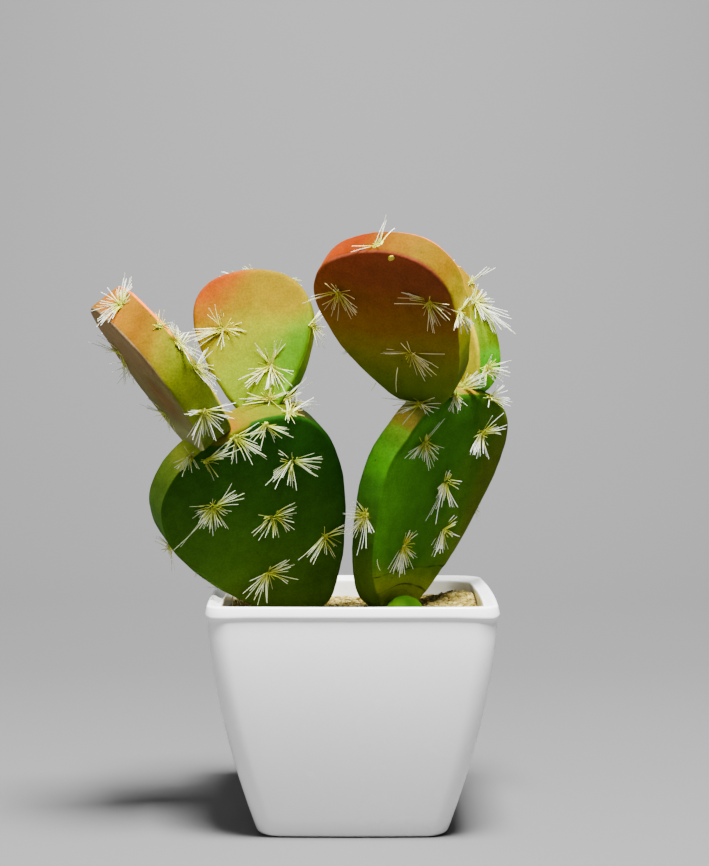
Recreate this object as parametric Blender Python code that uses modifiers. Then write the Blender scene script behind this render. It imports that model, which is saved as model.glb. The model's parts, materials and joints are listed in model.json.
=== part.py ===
"""Artificial prickly pear in a small white pot, modelled in metres with +Z up.

The origin is the centre of the pot's foot, on the surface that it stands on. +Y runs to the back.
Every pad is a slab cut to one kind of outline. It stands on its foot point, turned, leaned and
tilted, and the bristle tufts on it are fused into it.
"""
import math
import random
from collections import namedtuple

import bmesh
import bpy
from mathutils import Matrix, Vector, noise

MM = 0.001
SEAT_GAP = 0.3 * MM

# Pot
POT_HEIGHT = 64.5 * MM
FOOT_HALF = 26.2 * MM
WALL_FLARE = 13.4 * MM
FLARE_POWER = 1.66
FOOT_ROUND = 1.6 * MM
CORNER_RADIUS = 6.0 * MM
CORNER_STEPS = 5
SIDE_STEPS = 4
SIDE_BULGE = 1.0 * MM
WALL = 3.3 * MM
FOOT_FACET = 0.3
CORNER_AT_FOOT = 0.55
BAND_HEIGHT = 2.9 * MM
BAND_PROUD = 0.4 * MM
BAND_STEP = 0.2 * MM
BAND_DIP = 1.1 * MM
BAND_DIP_POWER = 8
POT_LEVELS = 9
NOTCH_SIZE = (2.7 * MM, 11.0 * MM, 3.0 * MM)
NOTCH_CENTRE = (-37.6 * MM, -17.4 * MM, POT_HEIGHT)

# Filler
FILL_LEVEL = 58.2 * MM
FILL_MOUND = 2.4 * MM
FILL_MOUND_PLACE = (27.5 * MM, 24 * MM)
FILL_MOUND_REACH = 11 * MM
FILL_ROUGHNESS = 0.7 * MM
FILL_WAVE = 9 * MM
FILL_RIPPLE = 4 * MM
FILL_CUTS = 9
FILL_CLEARANCE = 0.25 * MM
FILL_CORNER_SHARE = 0.75

# Pads
OUTLINE_POINTS = 40
EDGE_SEGMENTS = 2
EDGE_ANGLE = 50
STEM_RADIUS = 4.4 * MM
STEM_TAPER = 0.7
STEM_SIDES = 14
STEM_BOTTOM = 30 * MM
STEM_RISE = 9 * MM

# Bud at the foot of the right base pad
BUD_CENTRE = (14.46 * MM, -3.2 * MM, 55.9 * MM)
BUD_RADII = (6.8 * MM, 5.8 * MM, 7.4 * MM)
BUD_LEAN = 8
BUD_TURN = 40
BUD_STEPS = (16, 10)

# Bristles
BRISTLE_SIDES = 3
BRISTLE_RADIUS = 0.32 * MM
BRISTLE_SUNK = 0.9 * MM
BRISTLE_LENGTH = (5.2 * MM, 8.0 * MM)
BRISTLES_PER_TUFT = 7
TUFT_RADIUS = 0.75 * MM
BRISTLE_RISE = (14, 42)
BRISTLE_UNEVEN = 0.25
BRISTLE_CLEARANCE = 0.9 * MM
BRISTLE_CHECKS = 8
BUD_CLEARANCE = 1.1
DRAW_SEED = 7

# Steps of direction around a pad in which the reach of its outline is kept
REACH_STEPS = 72

# Faces that meet at more than this angle keep a crisp edge
CRISP_ANGLE = 35

Pad = namedtuple("Pad", "name foot turn lean tilt length width egg square skew thickness edge "
                        "colour front back rim")

# Lengths are in mm and angles in degrees. A turn is about +Z, a lean brings the tip toward the
# viewer, and a tilt swings it to the right in the pad's own plane. egg widens the upper half, square
# flattens the sides, and skew is the size of a three-cornered wave in the outline, toward the tip
# and toward the right. front and back hold the tufts on the faces as (across, up), and rim holds
# those on the edge as (angle from the tip, depth behind the mid plane).
PADS = (
    Pad("left_base_pad", (-12.24, 8.0, 60.6), 24, 21, -34, 66, 49, 0.32, 2.1, (-0.03, 0.0), 12.0, 1.4,
        (0.035, 0.12, 0.012),
        ((-11, 48), (2, 35), (14, 47), (12, 20), (-7, 20), (3.5, 62.6), (12.3, 61.2), (-6.3, 61.4)),
        ((-14, 44), (10, 50), (-3, 31), (12, 27), (-6, 14)),
        ((38, -4.5), (344, -4.0), (286, -3.8), (262, 2), (238, 4), (104, 3), (128, 4), (47, 4.0))),
    Pad("left_side_pad", (-35.94, -20.0, 104.5), -73, 37, 8, 51.5, 36, 0.20, 2.0, (0.02, -0.08), 10.5, 1.2,
        (0.35, 0.22, 0.02),
        ((-7, 37), (-3, 17)),
        ((-8, 34), (6, 40), (1, 20)),
        ((12, 0.5), (48, 4.0), (66, 4.6), (84, 4.6), (108, -0.2), (305, 2), (282, -2.5), (250, 1),
         (222, -2))),
    Pad("centre_top_pad", (-24.54, -14.0, 112.9), -5, -13, -7, 43, 30.5, 0.34, 2.1, (-0.02, -0.02), 10.5, 1.4,
        (0.6, 0.45, 0.04),
        ((-8, 26), (4, 14), (2.9, 4.8)),
        ((7, 31), (-7, 29), (1, 17)),
        ((351, 1.5), (6, 3), (30, 2), (83, -4.0), (144, -3.4), (262, 4.6))),
    Pad("right_base_pad", (6.56, 6.0, 54.2), 46, 19, 9, 70, 43.5, 0.60, 2.4, (0.09, 0.05), 10.0, 2.6,
        (0.05, 0.16, 0.015),
        ((-14, 56), (9, 62), (1, 46), (-7, 26), (8, 32)),
        ((-13, 52), (11, 54), (-1, 40), (7, 26), (-4, 62)),
        ((351, -4.4), (333, -0.8), (8, -4.4), (4, 1.8), (40, 4.0), (86, -2.0), (120, 4.0), (267, -0.8))),
    Pad("right_front_pad", (20.96, -9.0, 119.4), -33, 40, 4, 54, 40, 0.30, 2.3, (0.0, 0.03), 9.5, 1.4,
        (0.28, 0.10, 0.015),
        ((-13, 40), (14, 38), (3, 20)),
        ((-10, 41), (9, 43), (-4, 25), (10, 22)),
        ((4, -1.8), (79, -2.4), (254, -2.0), (226, 1))),
    Pad("right_rear_pad", (32.56, 5.0, 117.2), -42, 7, -21, 41, 33, 0.21, 2.4, (0.08, 0.01), 10.5, 1.4,
        (0.5, 0.48, 0.03),
        ((-7, 27), (8, 30), (2, 14)),
        ((-6, 29), (7, 27), (0, 14)),
        ((4, 0.5), (32, -2), (60, 2.2), (80, -0.4), (126, -2.0), (330, 2), (296, -1), (258, 1.5),
         (226, -1))),
)
PARENTS = {
    "left_side_pad": "left_base_pad",
    "centre_top_pad": "left_base_pad",
    "right_front_pad": "right_base_pad",
    "right_rear_pad": "right_base_pad",
}
ROOTED = ("left_base_pad", "right_base_pad")


def clear_scene():
    for item in list(bpy.data.objects):
        bpy.data.objects.remove(item, do_unlink=True)


def new_collection(name):
    made = bpy.data.collections.new(name)
    bpy.context.scene.collection.children.link(made)
    return made


def material(name, colour, roughness):
    made = bpy.data.materials.new(name)
    made.use_nodes = True
    shader = made.node_tree.nodes["Principled BSDF"]
    shader.inputs["Base Color"].default_value = (*colour, 1.0)
    shader.inputs["Roughness"].default_value = roughness
    shader.inputs["Metallic"].default_value = 0.0
    return made


def object_from(bm, name, collection):
    mesh = bpy.data.meshes.new(name)
    bm.to_mesh(mesh)
    bm.free()
    made = bpy.data.objects.new(name, mesh)
    collection.objects.link(made)
    return made


def dress(item, colour, roughness):
    item.data.materials.clear()
    item.data.materials.append(material(item.name, colour, roughness))
    item.data.shade_smooth()
    item.data.set_sharp_from_angle(angle=math.radians(CRISP_ANGLE))


def apply_modifiers(item):
    bpy.ops.object.select_all(action="DESELECT")
    item.select_set(True)
    bpy.context.view_layer.objects.active = item
    for modifier in list(item.modifiers):
        bpy.ops.object.modifier_apply(modifier=modifier.name)


def mark_cutter(item):
    item.hide_render = True
    item.display_type = "WIRE"


def cut(item, cutter):
    modifier = item.modifiers.new("cut", "BOOLEAN")
    modifier.operation = "DIFFERENCE"
    modifier.object = cutter
    mark_cutter(cutter)
    apply_modifiers(item)


def rounded_square(half, corner, bulge):
    """Points around a square with round corners, whose sides swell out in the middle."""
    points = []
    flat = half - corner
    for quarter in range(4):
        turn = Matrix.Rotation(math.radians(90 * quarter), 2)
        for step in range(CORNER_STEPS + 1):
            angle = math.radians(90 * step / CORNER_STEPS)
            points.append(turn @ Vector((flat + corner * math.cos(angle), flat + corner * math.sin(angle))))
        for step in range(1, SIDE_STEPS):
            points.append(turn @ Vector((flat - 2 * flat * step / SIDE_STEPS, half)))
    return [swell(point, half, bulge) for point in points]


def swell(point, half, bulge):
    x, y = point
    return Vector((x - bulge * (y / half) ** 2 * x / half, y - bulge * (x / half) ** 2 * y / half))


def wall_half(z):
    return FOOT_HALF + WALL_FLARE * (1 - (1 - z / POT_HEIGHT) ** FLARE_POWER)


def loft(sections):
    """An open skin through sections, each a ring of points, closed at the foot."""
    bm = bmesh.new()
    rings = []
    for points in sections:
        ring = [bm.verts.new(point) for point in points]
        for index, vert in enumerate(ring):
            rings.append(bm.edges.new((vert, ring[(index + 1) % len(ring)])))
    count = len(sections[0])
    for level in range(len(sections) - 1):
        bmesh.ops.bridge_loops(bm, edges=rings[level * count:(level + 2) * count])
    bmesh.ops.contextual_create(bm, geom=rings[:count])
    bmesh.ops.recalc_face_normals(bm, faces=bm.faces)
    return bm


def wall_section(half, height, dip=0.0):
    """A ring of the pot's wall, lower by the dip at its four corners."""
    share = half / wall_half(POT_HEIGHT)
    corner = CORNER_RADIUS * (CORNER_AT_FOOT + (1 - CORNER_AT_FOOT) * share)
    ring = []
    for x, y in rounded_square(half, corner, SIDE_BULGE * share):
        lowered = height - dip * (min(abs(x), abs(y)) / half) ** BAND_DIP_POWER
        ring.append(Vector((x, y, lowered)))
    return ring


def build_pot(collection):
    band_foot = POT_HEIGHT - BAND_HEIGHT
    wall_top = band_foot - 1.5 * BAND_DIP
    sections = [wall_section(wall_half(0) - FOOT_ROUND, 0.0)]
    sections.append(wall_section(wall_half(0) - FOOT_ROUND * FOOT_FACET, FOOT_ROUND * FOOT_FACET))
    for level in range(POT_LEVELS):
        height = FOOT_ROUND + (wall_top - FOOT_ROUND) * level / (POT_LEVELS - 1)
        sections.append(wall_section(wall_half(height), height))
    sections.append(wall_section(wall_half(band_foot), band_foot, BAND_DIP))
    sections.append(wall_section(wall_half(band_foot) + BAND_PROUD, band_foot + BAND_STEP, BAND_DIP))
    sections.append(wall_section(wall_half(POT_HEIGHT) + BAND_PROUD, POT_HEIGHT))
    pot = object_from(loft(sections), "pot", collection)
    shell = pot.modifiers.new("wall", "SOLIDIFY")
    shell.thickness = WALL
    shell.offset = -1
    shell.use_even_offset = True
    shell.use_rim = True
    apply_modifiers(pot)
    return pot


def build_notch(cutters):
    """The short slot in the left side of the rim."""
    bpy.ops.mesh.primitive_cube_add(size=1, location=NOTCH_CENTRE)
    notch = bpy.context.object
    notch.name = "notch"
    notch.scale = (NOTCH_SIZE[0], NOTCH_SIZE[1], NOTCH_SIZE[2] * 2)
    bpy.ops.object.transform_apply(location=False, rotation=False, scale=True)
    move_to(notch, cutters)
    mark_cutter(notch)
    return notch


def move_to(item, collection):
    for holder in list(item.users_collection):
        holder.objects.unlink(item)
    collection.objects.link(item)


def fill_height(x, y):
    distance = math.hypot(x - FILL_MOUND_PLACE[0], y - FILL_MOUND_PLACE[1])
    mound = FILL_MOUND * math.exp(-(distance / FILL_MOUND_REACH) ** 2)
    wave = noise.noise(Vector((x, y, 0)) / FILL_WAVE)
    ripple = noise.noise(Vector((x, y, FILL_RIPPLE)) / FILL_RIPPLE)
    return FILL_LEVEL + mound + FILL_ROUGHNESS * (wave + 0.5 * ripple)


def build_filler(collection):
    """The grains that fill the pot, as one block with an uneven top."""
    floor = WALL + SEAT_GAP
    bm = bmesh.new()
    bmesh.ops.create_cube(bm, size=2)
    bmesh.ops.subdivide_edges(bm, edges=bm.edges, cuts=FILL_CUTS, use_grid_fill=True)
    for vert in bm.verts:
        share = (vert.co.z + 1) / 2
        low = floor + share * (FILL_LEVEL - floor)
        half = wall_half(low) - WALL - SEAT_GAP - FILL_CLEARANCE
        spread = max(abs(vert.co.x), abs(vert.co.y))
        square = Vector((vert.co.x, vert.co.y)) * half
        if spread > 0:
            square = round_off(square / spread, half) * spread
        height = floor + share * (fill_height(*square) - floor)
        vert.co = (square.x, square.y, height)
    return object_from(bm, "filler", collection)


def round_off(point, half):
    """Moves a point of a square's outline onto the same square with round corners."""
    corner = CORNER_RADIUS * FILL_CORNER_SHARE
    flat = half - corner
    core = Vector((min(max(point.x, -flat), flat), min(max(point.y, -flat), flat)))
    arm = point - core
    if arm.length > 0:
        point = core + arm * (corner / arm.length)
    return swell(point, half, SIDE_BULGE)


def outline_point(pad, angle, grow=0.0):
    """A point of a pad's outline, as (across, up), with the angle measured from the tip."""
    c = math.cos(angle)
    s = math.sin(angle)
    up = math.copysign(abs(c) ** (2 / pad.square), c)
    across = math.copysign(abs(s) ** (2 / pad.square), s)
    wave = 1 + pad.skew[0] * math.cos(3 * angle) + pad.skew[1] * math.sin(3 * angle)
    up *= wave
    across *= wave * (1 + pad.egg * up)
    half_width = pad.width / 2 * MM + grow
    half_length = pad.length / 2 * MM + grow
    return Vector((half_width * across, pad.length / 2 * MM + half_length * up))


def pad_matrix(pad):
    """Takes (across, up, out of the front face) to the world."""
    turn = Matrix.Rotation(math.radians(pad.turn), 4, "Z")
    lean = Matrix.Rotation(math.radians(pad.lean), 4, "X")
    tilt = Matrix.Rotation(math.radians(pad.tilt), 4, "Y")
    stand = Matrix.Rotation(math.radians(90), 4, "X")
    return Matrix.Translation(Vector(pad.foot) * MM) @ turn @ lean @ tilt @ stand


def pad_body(pad, collection, grow=0.0):
    """The plain slab: a flat outline with a thickness and rounded edges."""
    curve = bpy.data.curves.new(pad.name, "CURVE")
    curve.dimensions = "2D"
    curve.fill_mode = "BOTH"
    curve.extrude = pad.thickness / 2 * MM + grow
    spline = curve.splines.new("POLY")
    spline.points.add(OUTLINE_POINTS - 1)
    for index, point in enumerate(spline.points):
        angle = 2 * math.pi * index / OUTLINE_POINTS
        point.co = (*outline_point(pad, angle, grow), 0, 1)
    spline.use_cyclic_u = True
    drawn = bpy.data.objects.new(pad.name + "_outline", curve)
    drawn.matrix_world = pad_matrix(pad)
    collection.objects.link(drawn)
    bpy.context.view_layer.update()
    ready = drawn.evaluated_get(bpy.context.evaluated_depsgraph_get())
    mesh = bpy.data.meshes.new_from_object(ready)
    bm = bmesh.new()
    bm.from_mesh(mesh)
    bmesh.ops.remove_doubles(bm, verts=bm.verts, dist=0.01 * MM)
    bmesh.ops.dissolve_limit(bm, angle_limit=math.radians(1), verts=bm.verts, edges=bm.edges)
    bmesh.ops.recalc_face_normals(bm, faces=bm.faces)
    body = object_from(bm, pad.name, collection)
    body.matrix_world = drawn.matrix_world
    bpy.data.objects.remove(drawn, do_unlink=True)
    edge = body.modifiers.new("edge", "BEVEL")
    edge.width = pad.edge * MM
    edge.segments = EDGE_SEGMENTS
    edge.limit_method = "ANGLE"
    edge.angle_limit = math.radians(EDGE_ANGLE)
    apply_modifiers(body)
    return body


def stem_body(pad, collection, grow=0.0):
    """The round stem that a rooted pad stands on in the filler."""
    top = pad.foot[2] * MM + STEM_RISE
    bottom = STEM_BOTTOM - grow
    bm = bmesh.new()
    bmesh.ops.create_cone(bm, cap_ends=True, segments=STEM_SIDES, radius1=STEM_RADIUS * STEM_TAPER + grow,
                          radius2=STEM_RADIUS + grow, depth=top - bottom)
    stem = object_from(bm, pad.name + "_stem", collection)
    lean = pad_matrix(pad) @ Vector((0, STEM_RISE, 0))
    stem.location = (lean.x, lean.y, (top + bottom) / 2)
    bpy.context.view_layer.update()
    return stem


def edge_drop(pad, depth):
    """How far the rounded edge lies below the rim at a depth from the mid plane."""
    past = max(abs(depth) - (pad.thickness / 2 - pad.edge), 0)
    return (pad.edge - math.sqrt(pad.edge ** 2 - past ** 2)) * MM


def tuft_frames(pad):
    """The place and outward direction of each tuft, in the world."""
    matrix = pad_matrix(pad)
    half = pad.thickness / 2 * MM
    frames = []
    for side, tufts in ((1, pad.front), (-1, pad.back)):
        for across, up in tufts:
            frames.append((Vector((across * MM, up * MM, side * half)), Vector((0, 0, side))))
    for angle, depth in pad.rim:
        here = outline_point(pad, math.radians(angle))
        before = outline_point(pad, math.radians(angle - 1))
        after = outline_point(pad, math.radians(angle + 1))
        along = (after - before).normalized()
        out = Vector((-along.y, along.x, 0))
        place = Vector((here.x, here.y, -depth * MM)) - out * edge_drop(pad, depth)
        frames.append((place, out))
    turned = matrix.to_3x3()
    return [(matrix @ place, turned @ out) for place, out in frames]


def bristle_rays(pad, rng):
    """Root, direction and length of every bristle of a pad."""
    rays = []
    for place, out in tuft_frames(pad):
        side = out.orthogonal().normalized()
        spin = rng.uniform(0, 2 * math.pi)
        for index in range(BRISTLES_PER_TUFT):
            share = (index + rng.uniform(-BRISTLE_UNEVEN, BRISTLE_UNEVEN)) / BRISTLES_PER_TUFT
            angle = spin + 2 * math.pi * share
            flat = Matrix.Rotation(angle, 3, out) @ side
            rise = math.radians(rng.uniform(*BRISTLE_RISE))
            direction = (flat * math.cos(rise) + out * math.sin(rise)).normalized()
            rays.append((place + flat * TUFT_RADIUS, direction, rng.uniform(*BRISTLE_LENGTH)))
    return rays


def direction_step(arm):
    """Which step of direction an arm from a pad's middle lies in."""
    return int(math.atan2(arm.x, arm.y) % (2 * math.pi) / (2 * math.pi) * REACH_STEPS)


def reach_table(pad):
    """How far the outline lies from the pad's middle, for each step of direction."""
    middle = Vector((0, pad.length / 2 * MM))
    reaches = [0.0] * REACH_STEPS
    for index in range(REACH_STEPS * 4):
        arm = outline_point(pad, 2 * math.pi * index / (REACH_STEPS * 4)) - middle
        reaches[direction_step(arm)] = max(reaches[direction_step(arm)], arm.length)
    return reaches


def inside_pad(pad, point, margin):
    """Whether a point lies in a pad's slab or closer to it than the margin."""
    local = STANDS[pad.name] @ point
    arm = Vector((local.x, local.y - pad.length / 2 * MM))
    near_face = abs(local.z) < pad.thickness / 2 * MM + margin
    return near_face and arm.length < REACHES[pad.name][direction_step(arm)] + margin


def samples(ray):
    root, direction, length = ray
    return [root + direction * length * step / BRISTLE_CHECKS for step in range(BRISTLE_CHECKS + 1)]


def in_pot(point):
    limit = wall_half(min(max(point.z, 0), POT_HEIGHT)) + BRISTLE_CLEARANCE
    return point.z < POT_HEIGHT + BRISTLE_CLEARANCE and max(abs(point.x), abs(point.y)) < limit


def in_bud(point):
    reach = [(point[axis] - BUD_CENTRE[axis]) / (BUD_RADII[axis] + BRISTLE_CLEARANCE) for axis in range(3)]
    return math.hypot(*reach) < BUD_CLEARANCE


def is_free(ray, pad, taken):
    """Whether a bristle stays clear of the pot, the bud, the other pads and their bristles."""
    for point in samples(ray):
        if in_pot(point) or in_bud(point):
            return False
        if any(inside_pad(other, point, BRISTLE_CLEARANCE) for other in PADS if other is not pad):
            return False
        if any((point - near).length < BRISTLE_CLEARANCE for near in taken):
            return False
    return True


def build_bristles(rays, collection):
    for index, (root, direction, length) in enumerate(rays):
        bm = bmesh.new()
        full = length + BRISTLE_SUNK
        bmesh.ops.create_cone(bm, cap_ends=True, segments=BRISTLE_SIDES, radius1=BRISTLE_RADIUS,
                              radius2=0, depth=full)
        bmesh.ops.remove_doubles(bm, verts=bm.verts, dist=0.001 * MM)
        bristle = object_from(bm, "bristle_%03d" % index, collection)
        turn = direction.to_track_quat("Z", "Y").to_matrix().to_4x4()
        middle = root + direction * (length - BRISTLE_SUNK) / 2
        bristle.matrix_world = Matrix.Translation(middle) @ turn
    bpy.context.view_layer.update()


def fuse(item, group):
    """Joins every object of a collection to the item, and removes the collection's objects."""
    modifier = item.modifiers.new("fuse", "BOOLEAN")
    modifier.operation = "UNION"
    modifier.operand_type = "COLLECTION"
    modifier.collection = group
    apply_modifiers(item)
    for member in list(group.objects):
        bpy.data.objects.remove(member, do_unlink=True)
    bpy.data.collections.remove(group)


def build_bud(collection):
    bm = bmesh.new()
    bmesh.ops.create_uvsphere(bm, u_segments=BUD_STEPS[0], v_segments=BUD_STEPS[1], radius=1)
    bmesh.ops.scale(bm, vec=BUD_RADII, verts=bm.verts)
    bud = object_from(bm, "base_bud", collection)
    bud.location = BUD_CENTRE
    bud.rotation_euler = (math.radians(BUD_LEAN), 0, math.radians(BUD_TURN))
    bpy.context.view_layer.update()
    return bud


def build():
    clear_scene()
    model = new_collection("potted_cactus")
    cutters = new_collection("cutters")

    pot = build_pot(model)
    cut(pot, build_notch(cutters))
    dress(pot, (0.80, 0.80, 0.79), 0.25)

    filler = build_filler(model)
    bodies = {pad.name: pad_body(pad, model) for pad in PADS}
    grown = {pad.name: pad_body(pad, cutters, SEAT_GAP) for pad in PADS}
    for cutter in grown.values():
        mark_cutter(cutter)
    stems = {pad.name: stem_body(pad, cutters, SEAT_GAP) for pad in PADS if pad.name in ROOTED}
    for child, parent in PARENTS.items():
        cut(bodies[child], grown[parent])
    for rooted in ROOTED:
        cut(filler, grown[rooted])
        cut(filler, stems[rooted])
    cut(bodies["right_rear_pad"], grown["right_front_pad"])

    bud = build_bud(model)
    cut(bud, grown["right_base_pad"])
    cut(bud, stems["right_base_pad"])
    bud_space = build_bud(cutters)
    bud_space.name = "bud_space"
    bud_space.scale = tuple(1 + SEAT_GAP / radius for radius in BUD_RADII)
    bpy.context.view_layer.update()
    cut(filler, bud_space)
    dress(bud, (0.14, 0.34, 0.02), 0.6)
    dress(filler, (0.55, 0.43, 0.24), 0.95)

    rng = random.Random(DRAW_SEED)
    taken = []
    for pad in PADS:
        rays = [ray for ray in bristle_rays(pad, rng) if is_free(ray, pad, taken)]
        taken.extend(point for ray in rays for point in samples(ray))
        group = new_collection(pad.name + "_bristles")
        build_bristles(rays, group)
        if pad.name in ROOTED:
            stem_body(pad, group)
        fuse(bodies[pad.name], group)
        dress(bodies[pad.name], pad.colour, 0.6)


STANDS = {pad.name: pad_matrix(pad).inverted() for pad in PADS}
REACHES = {pad.name: reach_table(pad) for pad in PADS}
build()
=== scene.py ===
"""The looks of an artificial prickly pear in a small white pot.

Each pad is a slab of foam, sprayed in soft fades of paint, with tufts of fine bristles in it. The
pads stand as the frame's do: on a foot point, turned, leaned and tilted. Lengths are in metres.
"""
import json
import random
from collections import namedtuple
from math import atan2, copysign, cos, degrees, exp, hypot, pi, radians, sin, sqrt

import bmesh
import bpy
from mathutils import Matrix, Vector, noise

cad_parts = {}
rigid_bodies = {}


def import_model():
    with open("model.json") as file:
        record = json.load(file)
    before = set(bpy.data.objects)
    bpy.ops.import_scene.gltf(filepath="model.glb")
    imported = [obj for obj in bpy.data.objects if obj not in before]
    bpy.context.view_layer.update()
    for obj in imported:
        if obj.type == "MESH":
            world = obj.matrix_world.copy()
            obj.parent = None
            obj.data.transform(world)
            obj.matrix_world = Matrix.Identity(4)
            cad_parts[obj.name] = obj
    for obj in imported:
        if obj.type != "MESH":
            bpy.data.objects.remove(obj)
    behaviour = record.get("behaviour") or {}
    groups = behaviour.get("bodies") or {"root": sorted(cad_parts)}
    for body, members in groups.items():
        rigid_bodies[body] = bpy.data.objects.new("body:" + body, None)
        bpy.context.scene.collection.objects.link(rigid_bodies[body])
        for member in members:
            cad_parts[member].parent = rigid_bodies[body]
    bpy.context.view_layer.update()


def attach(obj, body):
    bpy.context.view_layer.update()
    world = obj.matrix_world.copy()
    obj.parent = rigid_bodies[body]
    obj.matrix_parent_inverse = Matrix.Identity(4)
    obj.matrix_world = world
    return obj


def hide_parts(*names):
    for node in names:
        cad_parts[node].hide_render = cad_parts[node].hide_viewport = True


MM = 0.001
NOISE_SEED = 4

# Camera, as the rim and the wall of the pot give it
VIEW_DISTANCE = 525 * MM
VIEW_TARGET = (0.56 * MM, 0, 109.2 * MM)
VIEW_DROP = 1.8
LENS = 76.93
SENSOR = 36.0

# Stage, with its lights as name, place, aim, size and power
MIDDLE = (0, 0, 0.09)
LIGHTS = (
    ("key", (0.08, -0.33, 0.98), MIDDLE, 0.28, 72.0),
    ("front_fill", (0.30, -1.10, 0.30), MIDDLE, 0.6, 0.6),
    ("left_fill", (-0.75, -0.50, 0.50), MIDDLE, 0.5, 1.6),
    ("backdrop_light", (0, 0.45, 0.7), (0, 1.2, 0.5), 0.5, 14.0),
)
ROOM_SHADE = (0.9, 0.92, 0.95, 1)
ROOM_POWER = 0.06
SHEET_SIZE = 2.4
SHEET_CENTRE = (0, -0.2, 0)
SHEET_RISE = 1.6
SHEET_CURVE = 0.5
SHEET_SEGMENTS = 16
SHEET_BACK = 0.45 * SHEET_SIZE
SHEET_SHADE = 92

# Pot. The sections of its band and of its lip are in mm: out or inset, and rise or drop. Quarter
# holds the angles of a quarter round.
POT_HEIGHT = 64.5 * MM
FOOT_HALF = 26.2 * MM
WALL_FLARE = 13.4 * MM
FLARE_POWER = 1.66
FOOT_ROUND = 1.6 * MM
CORNER_RADIUS = 6.0 * MM
CORNER_STEPS = 10
CORNER_AT_FOOT = 0.55
CORNER_INSET = 0.4
SIDE_STEPS = 12
SIDE_BULGE = 1.0 * MM
WALL = 3.3 * MM
WALL_LEVELS = 16
WALL_STOP = 1.5
BAND_HEIGHT = 2.9 * MM
BAND_SECTION = ((0.0, -0.7), (0.14, -0.35), (0.38, -0.05), (0.5, 0.3), (0.52, 0.8))
BAND_TOP_PROUD = 0.05 * MM
BAND_DIP = 1.1 * MM
BAND_DIP_POWER = 8
LIP_ROUND = 0.7 * MM
LIP_SLOPE = 1.1 * MM
LIP_SECTION = ((1.1, 0.02), (1.5, 0.2), (2.6, 0.75), (3.2, 1.0), (3.35, 0.92), (3.55, 0.95),
               (3.7, 1.15), (3.75, 1.6))
QUARTER = [radians(90 * step / 4) for step in range(5)]
NOTCH_SIZE = (2.7 * MM, 11.0 * MM, 6.0 * MM)
NOTCH_CENTRE = (-37.6 * MM, -17.4 * MM, POT_HEIGHT)
NOTCH_ROUND = 0.5 * MM
NOTCH_SEGMENTS = 3
INNER_TOP = 61.5 * MM
INNER_LEVELS = 10
POT_FLOOR = WALL
POT_SMOOTH = 32

# Filler. Below its top it goes down in steps, in mm: the height and the clearance from the wall.
FILL_LEVEL = 58.4 * MM
FILL_MOUND = 3.0 * MM
FILL_MOUND_PLACE = (32.5 * MM, 21 * MM)
FILL_MOUND_REACH = 11 * MM
FILL_ROUGHNESS = 0.7 * MM
FILL_WAVE = 9 * MM
FILL_RIPPLE = 4 * MM
FILL_RIPPLE_PLACE = 5 * MM
FILL_GRID = 84
FILL_CORNER = CORNER_RADIUS + WALL * 0.5
FILL_CLEARANCE = 0.12 * MM
FILL_CRUMB = 0.22 * MM
FILL_CRUMB_WAVE = 5 * FILL_CRUMB
FILL_SKIRT = ((48, 0.4), (30, 0.7), (12, 1.0), (3.6, 1.0))

# Grains, with the ranges that chance takes their size, sinking and turn from
GRAIN_SEED = 7
GRAIN_COUNT = 3400
GRAIN_LUMPS = (0.35, 1.7)
GRAIN_RADIUS = (0.2 * MM, 0.52 * MM)
GRAIN_SORTS = (0.7, 0.85, 1.0, 1.0, 1.35)
GRAIN_RISE = (-0.25, 0.45)
GRAIN_TURN = (0, 6.3)
GRAIN_WIDTH = (0.7, 1.0)
GRAIN_HEIGHT = (0.55, 0.85)
GRAIN_INSET = 0.9 * MM
GRAIN_IN_PAD = -0.2 * MM

# Bud at the foot of the right base pad
BUD_CENTRE = (14.46 * MM, -3.2 * MM, 55.9 * MM)
BUD_RADII = (6.8 * MM, 5.8 * MM, 7.4 * MM)
BUD_LEAN = 8
BUD_TURN = 40
BUD_RIB = 0.12
BUD_RIBS = 7
BUD_WAVE = 3 * MM
BUD_UNEVEN = 0.3 * MM

# Pads
RIM_STEPS = 168
SIDE_BANDS = 10
EDGE_BANDS = 3
EDGE_TURN = 22
FACE_TURN = 88
FACE_FROM = 0.995
FACE_RINGS = (0.965, 0.93, 0.86, 0.78, 0.69, 0.59, 0.49, 0.39, 0.28, 0.16)
FACE_CROWN = 0.55 * MM
HAND_CUT = 0.36 * MM
BROAD_CUT = 9 * MM
FINE_CUT = 2.6 * MM
FINE_SHARE = 0.22
PRESS = 0.05 * MM
PAD_SMOOTH = 40
ROUND_SMOOTH = 60

# Layers of foam at the foot of the right base pad: peak, lean and bend of their upper edges, in mm,
# how those edges wander, how far each layer lies back and over what height, and the middle and the
# distance of fine creases around the bud, which are painted shade only
FOOT_LAYERS = {"right_base_pad": ((19.8, 0.17, 0.008), (14.9, -0.02, 0.03))}
LAYER_MIDDLE = 3
LAYER_WANDER = 0.14
LAYER_WAVE = 0.55
LAYER_STEP = 0.32 * MM
LAYER_RUN = 0.7
LAYER_RING = 0.026
LAYER_RINGS = 36
CREASE_MIDDLE = (2 * MM, 6 * MM)
CREASE_APART = 1.9 * MM

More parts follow.
